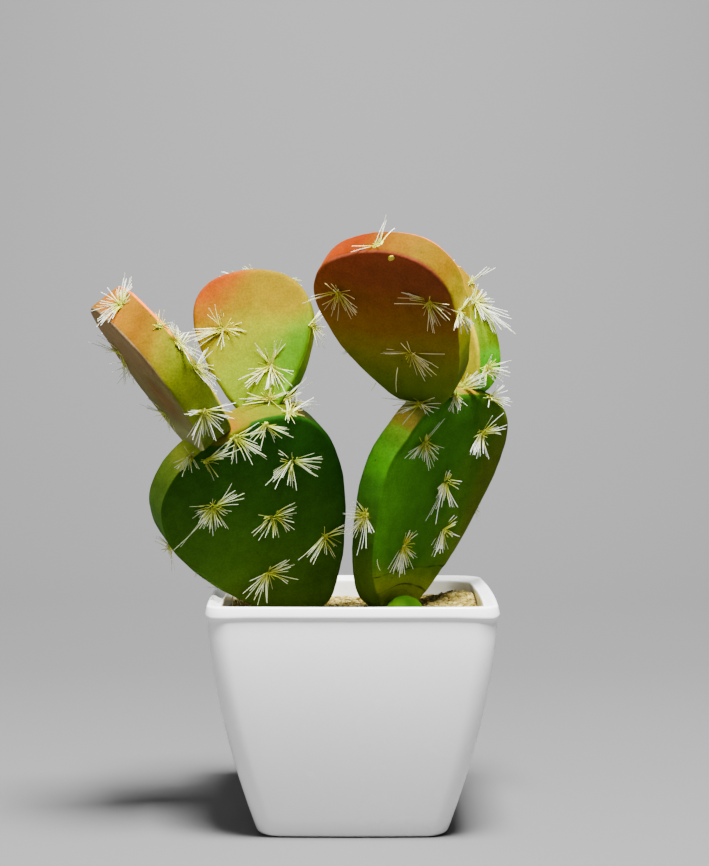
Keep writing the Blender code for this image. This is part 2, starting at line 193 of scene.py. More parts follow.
# Bristles. Pairs are ranges or, for what is called a spread, middle and spread of a chance. A rise
# is in degrees above the surface.
BRISTLE_SEED = 11
BRISTLE_SIDES = 4
BRISTLE_JOINTS = 4
BRISTLE_RADIUS = 0.115 * MM
BRISTLE_UNEVEN = (0.75, 1.15)
BRISTLE_TAPER = 0.25
BRISTLE_RISE = (6, 32)
BRISTLE_LENGTH = (0.6, 1.05)
BRISTLE_LONGER = 0.7
BRISTLE_SPREADS = ((0, 0.09), (0, 0.09), (-0.04, 0.07))
FULL_BRISTLE = 6.5 * MM
FAN_SLIP = (-0.4, 1.4)
FAN_WIDEN = (0.8, 1.5)
TUFT_SPREAD = 0.55 * MM
TUFT_BACK = (0.2, 2.2)
TUFT_ASIDE = 0.7
TUFT_SUNK = 0.2 * MM
BLOCK_CHECKS = (0.3, 0.65, 1.0)
LIP_MARGIN = 0.5 * MM
SIDE_ON = 0.3
STEEPEST = 1.2
TOO_SHORT = 0.05

# A rim tuft near a face leans over toward it: from this share of the half thickness on, and how far
OVER_FROM = 0.6
OVER_MOST = 0.6

# Fibres that lie matted over a tuft's knot, and the knot, with its own length and width in mm at
# some tufts
MATTED_FIBRES = 12
MATTED_RISE = (0, 50)
MATTED_BACK = (0.2, 1.0)
MATTED_ASIDE = 0.35
MATTED_BEND = 0.3
MATTED_LENGTH = (1.2, 2.6)
KNOT_LUMPS = (0.5, 2.1)
KNOT_TURN = (15, 50)
KNOT_UNEVEN = (0.85, 1.15)
KNOT_HEIGHT = 0.45 * MM
KNOT_FADE = 0.6
KNOT_TONE = 0.13
KNOT_SIZE = (0.95, 0.65)
KNOTS = {
    "right_front_pad rim 4": (1.7, 1.0),
    "left_base_pad front 3": (1.0, 0.8),
    "centre_top_pad front 0": (1.9, 0.6),
    "right_base_pad front 3": (1.7, 0.7),
    "right_base_pad front 4": (1.5, 0.8),
}

# A chip of bare yellow foam on a front face: across, up and size
CHIPS = {"right_front_pad": (7.2, 52.2, (1.1, 0.7))}

# Single bristles on a front face: across, up, direction as seen, length in mm and sideways bend
STRAYS = {
    "right_front_pad": ((-1.2, 17.4, 253, 11, 0.2), (-11.6, 8.5, 242, 3.5, 0.0)),
    "right_base_pad": ((-15.6, 21.3, 252, 3.6, 0.6),),
}
STRAY_BACK = 3 * MM
STRAY_SUNK = 0.15 * MM
STRAY_FLAT = 0.98
STRAY_RISE = 0.16

Pad = namedtuple("Pad", "name slot parent glow fibre foot turn lean tilt length width egg square skew "
                        "thickness edge front back rim")

# As in the frame: lengths in mm, angles in degrees, tufts on the faces as (across, up) and on the
# rim as (angle from the tip, depth from the mid plane). The parent is the pad that it stands on. After
# it comes the factor on the paint of the thin edge around each face: a painted highlight, and painted
# shade where it is under 1. Then the tint of the bristles in front of its face: painted shade,
# coloured like the face that they stand over.
PADS = (
    Pad("left_base_pad", "dark_green_pad", None, 1.15, (228, 236, 212), (-12.24, 8.0, 60.6), 24, 21,
        -34, 66, 49, 0.32, 2.1, (-0.03, 0.0), 12.0, 1.4,
        ((-11, 48), (2, 35), (14, 47), (12, 20), (-7, 20), (3.5, 62.6), (12.3, 61.2), (-6.3, 61.4)),
        ((-14, 44), (10, 50), (-3, 31), (12, 27), (-6, 14)),
        ((38, -4.5), (344, -4.0), (286, -3.8), (262, 2), (238, 4), (104, 3), (128, 4), (47, 4.0))),
    Pad("left_side_pad", "orange_olive_pad", "left_base_pad", 0.9, None, (-35.94, -20.0, 104.5), -73,
        37, 8, 51.5, 36, 0.20, 2.0, (0.02, -0.08), 10.5, 1.2,
        ((-7, 37), (-3, 17)),
        ((-8, 34), (6, 40), (1, 20)),
        ((12, 0.5), (48, 4.0), (66, 4.6), (84, 4.6), (108, -0.2), (305, 2), (282, -2.5), (250, 1),
         (222, -2))),
    Pad("centre_top_pad", "yellow_pad", "left_base_pad", 1.05, (252, 244, 204), (-24.54, -14.0, 112.9),
        -5, -13, -7, 43, 30.5, 0.34, 2.1, (-0.02, -0.02), 10.5, 1.4,
        ((-8, 26), (4, 14), (2.9, 4.8)),
        ((7, 31), (-7, 29), (1, 17)),
        ((351, 1.5), (6, 3), (30, 2), (83, -4.0), (144, -3.4), (262, 4.6))),
    Pad("right_base_pad", "green_pad", None, 0.85, None, (6.56, 6.0, 54.2), 46, 19, 9, 70, 43.5, 0.60, 2.4,
        (0.09, 0.05), 10.0, 2.6,
        ((-14, 56), (9, 62), (1, 46), (-7, 26), (8, 32)),
        ((-13, 52), (11, 54), (-1, 40), (7, 26), (-4, 62)),
        ((351, -4.4), (333, -0.8), (8, -4.4), (357, -2.4), (40, 4.0), (86, -2.0), (120, 4.0),
         (267, -0.8))),
    Pad("right_front_pad", "red_brown_pad", "right_base_pad", 1.15, (244, 224, 192),
        (20.96, -9.0, 119.4), -33, 40, 4, 54, 40, 0.30, 2.3, (0.0, 0.03), 9.5, 1.4,
        ((-13, 40), (14, 38), (3, 20)),
        ((-10, 41), (9, 43), (-4, 25), (10, 22)),
        ((4, -1.8), (79, -2.4), (254, -2.0), (226, 1))),
    Pad("right_rear_pad", "lime_pad", "right_base_pad", 1.2, None, (32.56, 5.0, 117.2), -42, 7, -21,
        41, 33, 0.21, 2.4, (0.08, 0.01), 10.5, 1.4,
        ((-7, 27), (8, 30), (2, 14)),
        ((-6, 29), (7, 27), (0, 14)),
        ((4, 0.5), (32, -2), (60, 2.2), (80, -0.4), (126, -2.0), (330, 2), (296, -1), (258, 1.5),
         (226, -1))),
)

# How the bundles of a tuft lie, as seen from the front: direction, half spread, count, length in mm
# and, for some, how many degrees steeper they stand. A tuft is known by its side and by its number
# there or its angle on the rim. The other tufts hang as most do, a full fan downward and a few
# bristles up and aside, with a lean and counts by chance.
FANS = {
    "left_base_pad": {
        "front 0": ((190, 22, 10, 7), (218, 14, 10, 7), (268, 30, 16, 7), (42, 12, 9, 10),
                    (335, 22, 6, 5), (130, 25, 4, 4), (225, 2, 2, 15)),
        "front 1": ((222, 8, 10, 8), (3, 10, 7, 6), (33, 9, 7, 7), (272, 16, 7, 6), (325, 12, 5, 7),
                    (172, 8, 5, 6)),
        "front 2": ((212, 8, 11, 9), (22, 7, 7, 8), (338, 12, 9, 8), (262, 16, 9, 7), (138, 14, 5, 7)),
        "front 3": ((220, 9, 12, 9), (40, 14, 9, 8), (325, 14, 4, 6), (272, 18, 4, 6)),
        "front 4": ((237, 9, 13, 8), (200, 10, 5, 8), (36, 7, 9, 9), (348, 6, 3, 8), (265, 14, 4, 6)),
        "front 5": ((338, 10, 10, 9), (312, 9, 8, 8), (265, 8, 5, 7), (212, 12, 5, 5), (35, 14, 6, 8)),
        "front 6": ((348, 9, 7, 7), (312, 8, 5, 6), (222, 12, 8, 6), (268, 10, 3, 4)),
        "front 7": ((40, 7, 9, 9), (20, 10, 4, 6), (300, 14, 4, 5)),
        "rim 38": ((300, 20, 10, 5), (258, 12, 6, 5), (100, 14, 5, 5), (30, 4, 3, 12), (5, 20, 6, 6)),
        "rim 344": ((268, 9, 10, 9), (300, 10, 8, 8), (245, 8, 5, 6), (325, 10, 4, 7)),
        "rim 286": ((155, 10, 4, 5), (232, 16, 6, 6), (200, 10, 2, 4)),
        "rim 262": ((278, 8, 2, 4), (200, 20, 2, 3)),
        "rim 104": ((10, 12, 3, 4), (330, 14, 3, 4)),
        "rim 47": ((20, 12, 4, 7), (350, 8, 3, 7), (60, 12, 2, 5)),
    },
    "left_side_pad": {
        "front 0": ((172, 16, 6, 9), (205, 14, 6, 8), (255, 14, 8, 8)),
        "front 1": ((170, 14, 5, 7), (200, 12, 5, 7), (240, 18, 5, 6)),
        "rim 12": ((68, 10, 14, 8), (98, 10, 6, 6), (235, 8, 14, 9), (188, 12, 6, 7), (140, 10, 3, 6),
                   (30, 15, 3, 4)),
        "rim 48": ((8, 5, 3, 4), (120, 10, 2, 3)),
        "rim 66": ((122, 10, 9, 6), (302, 12, 9, 7), (60, 20, 4, 4)),
        "rim 84": ((122, 14, 8, 8), (308, 12, 12, 8), (75, 14, 6, 6), (345, 14, 4, 5)),
        "rim 108": ((170, 8, 9, 7), (22, 6, 5, 9), (352, 7, 4, 8), (238, 10, 7, 8), (272, 12, 8, 8),
                    (312, 10, 6, 8)),
    },
    "centre_top_pad": {
        "front 0": ((198, 14, 22, 10), (118, 10, 4, 7), (90, 12, 3, 6), (345, 14, 7, 6), (262, 18, 5, 6),
                    (40, 16, 4, 5)),
        "front 1": ((118, 12, 6, 8), (68, 12, 9, 8), (216, 12, 12, 9), (300, 13, 10, 8), (266, 12, 8, 8),
                    (178, 14, 4, 6), (330, 10, 4, 8)),
        "front 2": ((185, 12, 10, 8), (262, 14, 9, 7), (300, 14, 8, 7), (95, 16, 5, 4), (20, 14, 6, 6)),
        "rim 351": ((150, 12, 3, 5.5), (80, 20, 3, 4.5)),
        "rim 6": ((110, 20, 4, 5), (28, 14, 6, 6), (150, 10, 3, 6)),
        "rim 30": ((10, 12, 4, 5.5), (60, 14, 3, 4.5)),
        "rim 83": ((78, 9, 9, 6), (345, 12, 8, 5), (300, 10, 6, 6), (275, 9, 8, 7), (20, 10, 3, 4)),
        "rim 144": ((32, 3, 4, 11), (15, 10, 5, 7), (300, 18, 8, 6), (345, 10, 4, 6), (250, 12, 4, 5)),
    },
    "right_base_pad": {
        "front 0": ((90, 22, 9, 4), (208, 8, 12, 8), (262, 18, 9, 7), (300, 10, 5, 7), (330, 6, 5, 7),
                    (58, 6, 2, 10)),
        "front 1": ((22, 7, 14, 7), (186, 8, 6, 4), (232, 12, 18, 8), (70, 5, 2, 8), (268, 8, 6, 7)),
        "front 2": ((94, 4, 8, 5), (352, 6, 4, 6), (215, 22, 16, 6), (262, 20, 16, 7.5), (226, 3, 3, 13)),
        "front 3": ((82, 7, 8, 6), (312, 9, 7, 6), (240, 10, 16, 9), (272, 8, 7, 7), (20, 15, 4, 4)),
        "front 4": ((55, 6, 7, 5), (330, 9, 6, 5), (232, 10, 18, 7.5), (262, 7, 5, 5)),
        "rim 333": ((174, 3, 4, 12), (352, 5, 4, 8), (312, 12, 12, 7), (222, 10, 5, 9), (200, 8, 4, 8)),
        "rim 351": ((240, 8, 12, 9), (264, 7, 8, 8), (227, 3, 2, 15), (285, 8, 4, 5)),
        "rim 8": ((352, 9, 8, 7), (325, 9, 8, 6), (184, 9, 6, 5), (228, 6, 5, 7), (42, 12, 5, 6)),
        "rim 357": ((4, 12, 22, 8, 24), (165, 18, 10, 4, 20), (345, 10, 12, 7, 15), (45, 25, 10, 5, 30),
                    (300, 25, 8, 3.5, 35)),
        "rim 86": ((20, 20, 4, 3), (320, 18, 4, 3.5), (60, 14, 2, 3)),
        "rim 267": ((177, 5, 10, 7), (122, 7, 5, 6), (58, 8, 4, 4), (312, 10, 5, 6), (245, 14, 12, 8),
                    (284, 5, 3, 10)),
    },
    "right_front_pad": {
        "front 0": ((115, 4, 2, 8), (78, 8, 4, 6), (176, 8, 3, 9), (212, 22, 4, 7), (280, 10, 4, 7),
                    (322, 12, 10, 8), (24, 8, 2, 6), (355, 6, 2, 8)),
        "front 1": ((152, 7, 8, 8), (352, 7, 8, 8), (305, 13, 10, 8), (272, 6, 1, 5)),
        "front 2": ((164, 8, 5, 8), (103, 6, 2, 6), (325, 11, 9, 9), (353, 6, 6, 11), (285, 10, 2, 6),
                    (40, 14, 2, 4)),
        "rim 4": ((57, 5, 4, 9), (192, 5, 2, 9), (292, 8, 1, 6)),
        "rim 79": ((74, 8, 8, 6), (244, 9, 9, 7), (300, 12, 8, 6), (275, 8, 4, 7)),
        "rim 254": ((200, 30, 3, 3),),
        "rim 226": ((232, 5, 3, 5),),
    },
    "right_rear_pad": {
        "rim 60": ((34, 3, 3, 9), (70, 20, 2, 3)),
        "rim 80": ((104, 10, 7, 6), (68, 8, 6, 5), (3, 8, 9, 6), (336, 8, 6, 8), (309, 7, 16, 13),
                   (190, 12, 7, 5), (270, 8, 7, 8)),
        "rim 126": ((8, 9, 10, 8), (340, 8, 7, 8), (180, 10, 6, 5), (226, 12, 8, 6), (300, 12, 5, 5),
                    (60, 16, 4, 4)),
    },
}
USUAL_FANS = ((250, 30, (8, 12), 6.5), (300, 22, (4, 7), 6.0), (50, 25, (3, 6), 5.5),
              (190, 20, (3, 6), 5.5), (120, 30, (1, 3), 4.5))
USUAL_LEAN = 35

# Sprayed colours. Some of them also hold painted light: a few rim shades are lighter where another
# pad's shadow falls on that rim, and the backs, out of sight, grow lighter toward the tip, partly the
# tips' paint and partly painted light from above. A face has a fade that runs in a direction, in
# degrees from the tip, with its shades from low to high. A rim has a slant in degrees for each mm of
# depth, and shades by the direction from the pad's middle, in degrees from the tip and clockwise. The
# foot is a shade and the height in mm that it reaches up the front. A spray is a patch on the front:
# across, up, reach and width of its soft edge, all in mm, and shade.
FADES = {
    "left_base_pad": {
        "front": (50, ((0.1, 54, 82, 22), (0.35, 44, 75, 16), (0.6, 32, 65, 10), (0.9, 22, 61, 7))),
        "rim": (0, (
            (-150, 44, 70, 18), (-66, 52, 84, 26), (-53, 76, 115, 38), (-41, 99, 138, 46),
            # From -31 to -10 the shades are painted light, lighter where the left side pad's shadow falls
            # on this rim
            (-31, 140, 180, 56), (-20, 196, 214, 70), (-10, 140, 160, 40), (-2, 60, 88, 16),
            (6, 108, 66, 0), (11, 88, 76, 0), (20, 84, 84, 0), (31, 73, 84, 0), (38, 62, 73, 2),
            (43, 56, 43, 14), (50, 34, 42, 10), (57, 28, 66, 8), (150, 26, 58, 8),
        )),
        "back": (0, ((0.1, 60, 110, 20), (0.6, 96, 140, 24), (0.95, 190, 160, 30))),
        "foot": ((50, 80, 18), 8),
        "sprays": ((3.3, 74.4, 12, 0.8, (86, 82, 0)),),
    },
    "left_side_pad": {
        "front": (0, (
            (0.05, 150, 156, 98), (0.2, 134, 136, 84), (0.36, 106, 102, 56), (0.55, 113, 102, 58),
            (0.72, 126, 104, 66), (0.88, 136, 112, 76),
        )),
        "rim": (-2, (
            (-170, 70, 84, 24), (-100, 92, 104, 16), (-60, 96, 92, 2), (-20, 114, 72, 0), (3, 131, 72, 0),
            (15, 114, 75, 0), (30, 100, 63, 0), (46, 100, 73, 0), (57, 101, 92, 0), (68, 92, 97, 2),
            (78, 80, 90, 4), (90, 96, 106, 14), (112, 112, 128, 22), (128, 104, 120, 44),
            (144, 62, 78, 24), (170, 70, 84, 24),
        )),
        "back": (0, ((0.05, 96, 120, 20), (0.5, 190, 170, 20), (0.95, 220, 100, 24))),
        "foot": ((150, 156, 96), 4),
        "sprays": ((8, 24, 7, 6, (110, 84, 44)),),
    },
    "centre_top_pad": {
        "front": (-30, (
            (0.1, 80, 104, 1), (0.35, 95, 112, 1), (0.56, 104, 110, 1), (0.68, 105, 96, 0),
            (0.77, 107, 83, 0), (0.86, 115, 70, 0), (0.94, 124, 58, 0), (1.0, 122, 45, 0),
        )),
        "rim": (0, (
            (-150, 84, 98, 1), (-80, 112, 92, 1), (-50, 122, 60, 1), (0, 106, 68, 0), (40, 98, 86, 0),
            (70, 104, 112, 2), (95, 136, 158, 22), (115, 124, 164, 28), (132, 84, 132, 22),
            (160, 50, 90, 12),
        )),
        "back": (0, ((0.1, 120, 170, 30), (0.5, 200, 180, 26), (0.95, 220, 110, 26))),
        "foot": ((78, 92, 1), 3),
        "sprays": ((9, 36, 9, 9, (108, 88, 0)), (14, 15, 10, 8, (58, 100, 1)),
                   (10, 5, 5, 4, (96, 142, 16))),
    },
    "right_base_pad": {
        "front": (90, (
            (0.2, 58, 118, 10), (0.36, 48, 98, 11), (0.5, 43, 86, 12), (0.64, 54, 86, 15),
            (0.78, 70, 82, 20),
        )),
        "rim": (0, (
            (-160, 58, 84, 14), (-142, 55, 82, 12), (-120, 41, 71, 16), (-96, 50, 90, 22),
            # From -52 to -44 the greens are painted light, lighter where the right front pad's shadow
            # falls on this rim
            (-76, 52, 108, 18), (-62, 78, 164, 18), (-52, 112, 212, 40), (-44, 150, 220, 50),
            (-38, 190, 170, 66), (-32, 120, 124, 46), (-25, 63, 85, 20), (-14, 78, 95, 22),
            (-6, 120, 96, 14), (2, 140, 108, 4), (9, 88, 112, 2), (30, 80, 110, 12), (110, 60, 92, 14),
        )),
        "back": (0, ((0.05, 60, 110, 20), (0.6, 80, 140, 30), (0.95, 190, 120, 40))),
        "foot": ((124, 144, 3), 16.5),
    },
    "right_front_pad": {
        "front": (5, (
            (0.08, 60, 79, 12), (0.2, 70, 83, 14), (0.3, 82, 86, 8), (0.42, 94, 82, 4), (0.55, 98, 68, 8),
            (0.7, 96, 57, 18), (0.84, 99, 50, 25), (1.0, 114, 52, 30),
        )),
        "rim": (0, (
            (-160, 62, 82, 12), (-110, 90, 84, 6), (-60, 110, 60, 20), (-38, 128, 50, 10),
            (-28, 113, 39, 0), (-8, 97, 32, 0), (4, 95, 49, 0), (16, 95, 61, 0), (34, 93, 68, 0),
            # From 68 to 90 the yellows are partly paint and partly painted light, lighter where this rim
            # turns away from the lamp
            (46, 103, 73, 0), (57, 126, 106, 0), (68, 170, 150, 2), (80, 196, 180, 6), (90, 190, 180, 22),
            (98, 168, 166, 30), (108, 160, 168, 30), (120, 132, 146, 26), (142, 84, 97, 20),
            (160, 60, 82, 12),
        )),
        "back": (0, ((0.05, 120, 150, 20), (0.45, 200, 170, 20), (0.9, 220, 90, 24))),
        "foot": ((58, 79, 12), 4),
    },
    "right_rear_pad": {
        "front": (0, ((0.1, 140, 138, 2), (0.35, 156, 142, 4), (0.8, 176, 120, 4))),
        "rim": (0, (
            (-160, 90, 160, 6), (-90, 100, 120, 4), (-30, 120, 80, 0), (20, 114, 75, 0), (58, 102, 82, 0),
            (76, 101, 97, 0), (92, 92, 107, 1), (108, 84, 108, 1), (118, 78, 112, 1), (126, 70, 136, 1),
            (134, 62, 140, 1), (150, 96, 180, 6),
        )),
        "back": (0, ((0.05, 110, 170, 20), (0.5, 190, 180, 20), (0.95, 220, 120, 24))),
        "foot": ((134, 134, 2), 3),
    },
}

# Finishes. A cloud is scale, detail and roughness, and what follows it is the range of the cloud
# that is used and what it is spread to.
WARP_CLOUD = (70, 4, 0.6)
WARP = 0.2
RIM_WARP = 0.25
FACE_WARP = 3 * MM
SPRAY_WARP = 4
SPRAY_COVER = 0.95
FOOT_WARP = 60 * MM
FOOT_FADE = (0.6, 1.35)
FOOT_COVER = 0.9
CREASE_WARP = 40 * MM
MOTTLE_CLOUD = (240, 6, 0.7)
MOTTLE = (0.3, 0.7, 0.89, 1.11)
SPECKLE_CLOUD = (1900, 2, 0.5)
SPECKLE = (0.3, 0.7, 0.88, 1.12)
# Pinholes: small dark dots here and there, painted shade of the foam's pores, which have no hole in the
# mesh
PORE_SCALE = 330
PORE = (0.06, 0.14, 0.6, 0.0)
PORE_CLOUD = (150, 1)
PORES_IN = (0.52, 0.6)
PINHOLE_SHADOW = (40, 46, 4)
GRAIN_CLOUD = (1500, 3, 0.6)
FOAM_ROUGH = (0.3, 0.7, 0.66, 0.8)
SOFT_CLOUD = (420, 2)
SOFT_BUMP = (0.35, 0.25 * MM)
FINE_BUMP = (0.35, 0.12 * MM)
FOAM_SHINE = 0.02

# Where the looks of a pad meet, in metres in from its face or out from its middle
BACK_TO_FRONT = (-0.5 * MM, 0.5 * MM)
RIM_LINE = (1.0 * MM, 0.5 * MM)
# The thin band along the edge of each face that gets the painted highlight, painted shade where a pad's
# factor is under 1
HIGHLIGHT_IN = (0.8 * MM, 0.5 * MM)
HIGHLIGHT_OUT = (0.3 * MM, 0.05 * MM)
# The painted shadow, in patches, where each foot layer steps back, and the painted shade in the fine
# creases below
LAYER_FRONT = (1.2 * MM, 0.4 * MM)
STEP_START = (-0.3 * MM, 0.2 * MM)
STEP_END = (0.3 * MM, 0.7 * MM, 1.0, 0.0)
PATCH_CLOUD = (260,)
PATCHES = (0.4, 0.6, 0.3, 0.85)
STEP_SHADOW = (24, 44, 4)
CREASE_FROM = (-0.5 * MM, 3 * MM)
CREASE = (0.5, 1.0, 0.0, 0.3)
CREASE_SHADOW = (40, 60, 4)

# Fibre from root to tip, its dullness and its shift along the fade by chance, then pot, sand and bud.
# A glow is weight, radius and scale under the surface, and a bump is strength and distance.
FIBRE = ((0.0, 176, 178, 4), (0.3, 196, 204, 22), (0.5, 226, 234, 130), (0.75, 244, 253, 226))
FIBRE_DULL = (0.5, 1.1)
FIBRE_SHIFT = (-0.16, 0.2)
TONE_TURNS = 7.0
FIBRE_CLOUD = (900,)
FIBRE_ROUGH = (0.3, 0.7, 0.38, 0.55)
FIBRE_GLOW = (0.8, (1.0, 1.0, 0.8), 2 * BRISTLE_RADIUS)
# How far under a face the painted shade on the bristles in front of it fades in
FIBRE_ON_FACE = 0.3 * MM
# The pot's last shade is a painted highlight, on the band and the lip that face up into the light
POT_SHADES = ((238, 238, 238), (244, 244, 243), (252, 252, 251))
POT_ROUGH = (0.35, 0.65, 0.2, 0.28)
POT_WAVE = (0.12, 0.6 * MM)
POT_GRAIN = (0.06, 0.05 * MM)
# Where the painted highlight of the band fades in, below and above the band's foot
BAND_HIGHLIGHT_FADE = (2 * MM, 0.5 * MM)
SAND = ((0.0, 102, 82, 26), (0.2, 132, 112, 44), (0.55, 154, 136, 60), (0.85, 172, 156, 78),
        (1.0, 198, 184, 116))
SAND_BUMP = (0.9, 0.5 * MM)
DAMP = (0.36, 0.62, 0.62, 1.06)
BUD_ROUGH = (0.3, 0.7, 0.6, 0.75)
BUD_BUMP = (0.3, 0.12 * MM)
GREENS = ((0.3, 42, 84, 1), (0.55, 60, 108, 2), (0.7, 86, 130, 4))


def deselect():
    bpy.ops.object.select_all(action="DESELECT")


def focus(item):
    deselect()
    item.select_set(True)
    bpy.context.view_layer.objects.active = item


def mode(name):
    bpy.ops.object.mode_set(mode=name)


def apply_all(item):
    focus(item)
    for modifier in list(item.modifiers):
        bpy.ops.object.modifier_apply(modifier=modifier.name)


def remove(item):
    bpy.data.objects.remove(item, do_unlink=True)


def smooth(item, angle):
    focus(item)
    bpy.ops.object.shade_smooth_by_angle(angle=radians(angle))


def face_outward():
    """Turns the faces of the item in edit mode outward, and leaves edit mode."""
    bpy.ops.mesh.select_all(action="SELECT")
    bpy.ops.mesh.normals_make_consistent(inside=False)
    mode("OBJECT")


def select_edges(item, wanted):
    """Selects the edges of the item in edit mode that are wanted, and nothing else."""
    bpy.ops.mesh.select_mode(type="EDGE")
    bpy.ops.mesh.select_all(action="DESELECT")
    cage = bmesh.from_edit_mesh(item.data)
    for edge in cage.edges:
        edge.select = wanted(edge)
    bmesh.update_edit_mesh(item.data)


def rise_of(edge):
    return abs(edge.verts[0].co.z - edge.verts[1].co.z)


def finish_piece(item, name, material):
    """Names a piece, gives it its finish and joins it to the body."""
    item.name = name
    item.data.name = name
    item.data.materials.clear()
    item.data.materials.append(material)
    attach(item, "root")


def cut(item, tool):
    """Takes the tool's shape out of the item, and the tool away."""
    modifier = item.modifiers.new("cut", "BOOLEAN")
    modifier.operation = "DIFFERENCE"
    modifier.object = tool
    modifier.solver = "MANIFOLD"
    apply_all(item)
    remove(tool)


def round_edges(item, width, segments):
    modifier = item.modifiers.new("round", "BEVEL")
    modifier.width = width
    modifier.segments = segments
    apply_all(item)


def clamp(value, low=0, high=1):
    return min(max(value, low), high)


def chance_vector(rng, spreads):
    return Vector([rng.gauss(*spread) for spread in spreads])


def pattern_of(item, lumps=0.0, wave=1.0):
    """An item's points, made lumpy, and its faces. The item itself is taken away."""
    points = [vert.co * (1 + lumps * noise.noise(vert.co * wave)) for vert in item.data.vertices]
    faces = [tuple(face.vertices) for face in item.data.polygons]
    remove(item)
    return points, faces


def stone_pattern(subdivisions, lumps):
    deselect()
    bpy.ops.mesh.primitive_ico_sphere_add(subdivisions=subdivisions, radius=1)
    return pattern_of(bpy.context.object, *lumps)


class Heap:
    """Gathers copies of small patterns in one mesh, with named values at each of their points."""

    def __init__(self, *names):
        self.verts = []
        self.corners = []
        self.values = {name: [] for name in names}

    def add(self, places, faces, **values):
        base = len(self.verts)
        self.verts.extend(places)
        self.corners.extend(tuple(base + index for index in face) for face in faces)
        for name, value in values.items():
            self.values[name].extend(value if isinstance(value, list) else [value] * len(places))

    def item(self):
        mesh = bpy.data.meshes.new("heap")
        mesh.from_pydata(self.verts, [], self.corners)
        for name, values in self.values.items():
            mesh.attributes.new(name, "FLOAT", "POINT").data.foreach_set("value", values)
        heap = bpy.data.objects.new("heap", mesh)
        bpy.context.scene.collection.objects.link(heap)
        return heap


# Pot


def swell(x, y, half, bulge):
    return Vector((x - bulge * (y / half) ** 2 * x / half, y - bulge * (x / half) ** 2 * y / half))


def rounded_square(half, corner, bulge):
    """Points around a square with round corners whose sides swell out in the middle."""
    points = []
    flat = half - corner
    for quarter in range(4):
        turn = Matrix.Rotation(radians(90 * quarter), 2)
        for step in range(CORNER_STEPS + 1):
            angle = radians(90 * step / CORNER_STEPS)
            points.append(turn @ Vector((flat + corner * cos(angle), flat + corner * sin(angle))))
        for step in range(1, SIDE_STEPS):
            points.append(turn @ Vector((flat - 2 * flat * step / SIDE_STEPS, half)))
    return [swell(*point, half, bulge) for point in points]


def wall_half(z):
    return FOOT_HALF + WALL_FLARE * (1 - (1 - z / POT_HEIGHT) ** FLARE_POWER)


def wall_ring(half, height, dip=0.0, inset=0.0):
    """A ring of the wall, lower by the dip at its four corners."""
    share = half / wall_half(POT_HEIGHT)
    corner = CORNER_RADIUS * (CORNER_AT_FOOT + (1 - CORNER_AT_FOOT) * share) + inset * CORNER_INSET
    ring = []
    for x, y in rounded_square(half - inset, corner, SIDE_BULGE * share):
        lowered = height - dip * (min(abs(x), abs(y)) / (half - inset)) ** BAND_DIP_POWER
        ring.append(Vector((x, y, lowered)))
    return ring


def pot_rings():
    """The pot's section from the foot, up the outside, over the lip and down to the inner floor."""
    band_foot = POT_HEIGHT - BAND_HEIGHT
    wall_top = band_foot - WALL_STOP * BAND_DIP
    rings = []
    for angle in QUARTER:
        height = FOOT_ROUND * (1 - cos(angle))
        rings.append(wall_ring(wall_half(height) - FOOT_ROUND * (1 - sin(angle)), height))
    for level in range(1, WALL_LEVELS):
        height = FOOT_ROUND + (wall_top - FOOT_ROUND) * level / (WALL_LEVELS - 1)
        rings.append(wall_ring(wall_half(height), height))
    for out, rise in BAND_SECTION:
        rings.append(wall_ring(wall_half(band_foot) + out * MM, band_foot + rise * MM, BAND_DIP))
    outer = wall_half(POT_HEIGHT) + BAND_TOP_PROUD
    for angle in QUARTER:
        height = POT_HEIGHT - LIP_ROUND * (1 - sin(angle))
        rings.append(wall_ring(outer, height, inset=LIP_ROUND * (1 - cos(angle))))
    for inset, drop in LIP_SECTION:
        rings.append(wall_ring(outer, POT_HEIGHT - drop * LIP_SLOPE, inset=inset * MM))
    for level in range(INNER_LEVELS + 1):
        height = INNER_TOP + (POT_FLOOR - INNER_TOP) * level / INNER_LEVELS
        rings.append(wall_ring(wall_half(height), height, inset=WALL))
    return rings


def raise_rings(item, rings):
    """Extrudes the top face of the item from ring to ring."""
    mode("EDIT")
    for ring in rings[1:]:
        bpy.ops.mesh.extrude_region_move()
        cage = bmesh.from_edit_mesh(item.data)
        place = cage.verts.layers.int["place"]
        for vert in cage.verts:
            if vert.select:
                vert.co = ring[vert[place]]
        bmesh.update_edit_mesh(item.data)
    face_outward()


def start_ring(ring):
    """A flat face with one corner for each point of the ring."""
    deselect()
    bpy.ops.mesh.primitive_circle_add(vertices=len(ring), radius=1, fill_type="NGON")
    item = bpy.context.object
    place = item.data.attributes.new("place", "INT", "POINT")
    for index, vert in enumerate(item.data.vertices):
        place.data[index].value = index
        vert.co = ring[index]
    return item


def make_pot():
    rings = pot_rings()
    pot = start_ring(rings[0])
    raise_rings(pot, rings)
    pot.data.attributes.remove(pot.data.attributes["place"])
    deselect()
    bpy.ops.mesh.primitive_cube_add(size=1, location=NOTCH_CENTRE)
    notch = bpy.context.object
    notch.scale = NOTCH_SIZE
    bpy.ops.object.transform_apply(location=False, rotation=False, scale=True)
    round_edges(notch, NOTCH_ROUND, NOTCH_SEGMENTS)
    cut(pot, notch)
    smooth(pot, POT_SMOOTH)
    finish_piece(pot, "white_pot", pot_plastic())
    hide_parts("pot")


# Filler


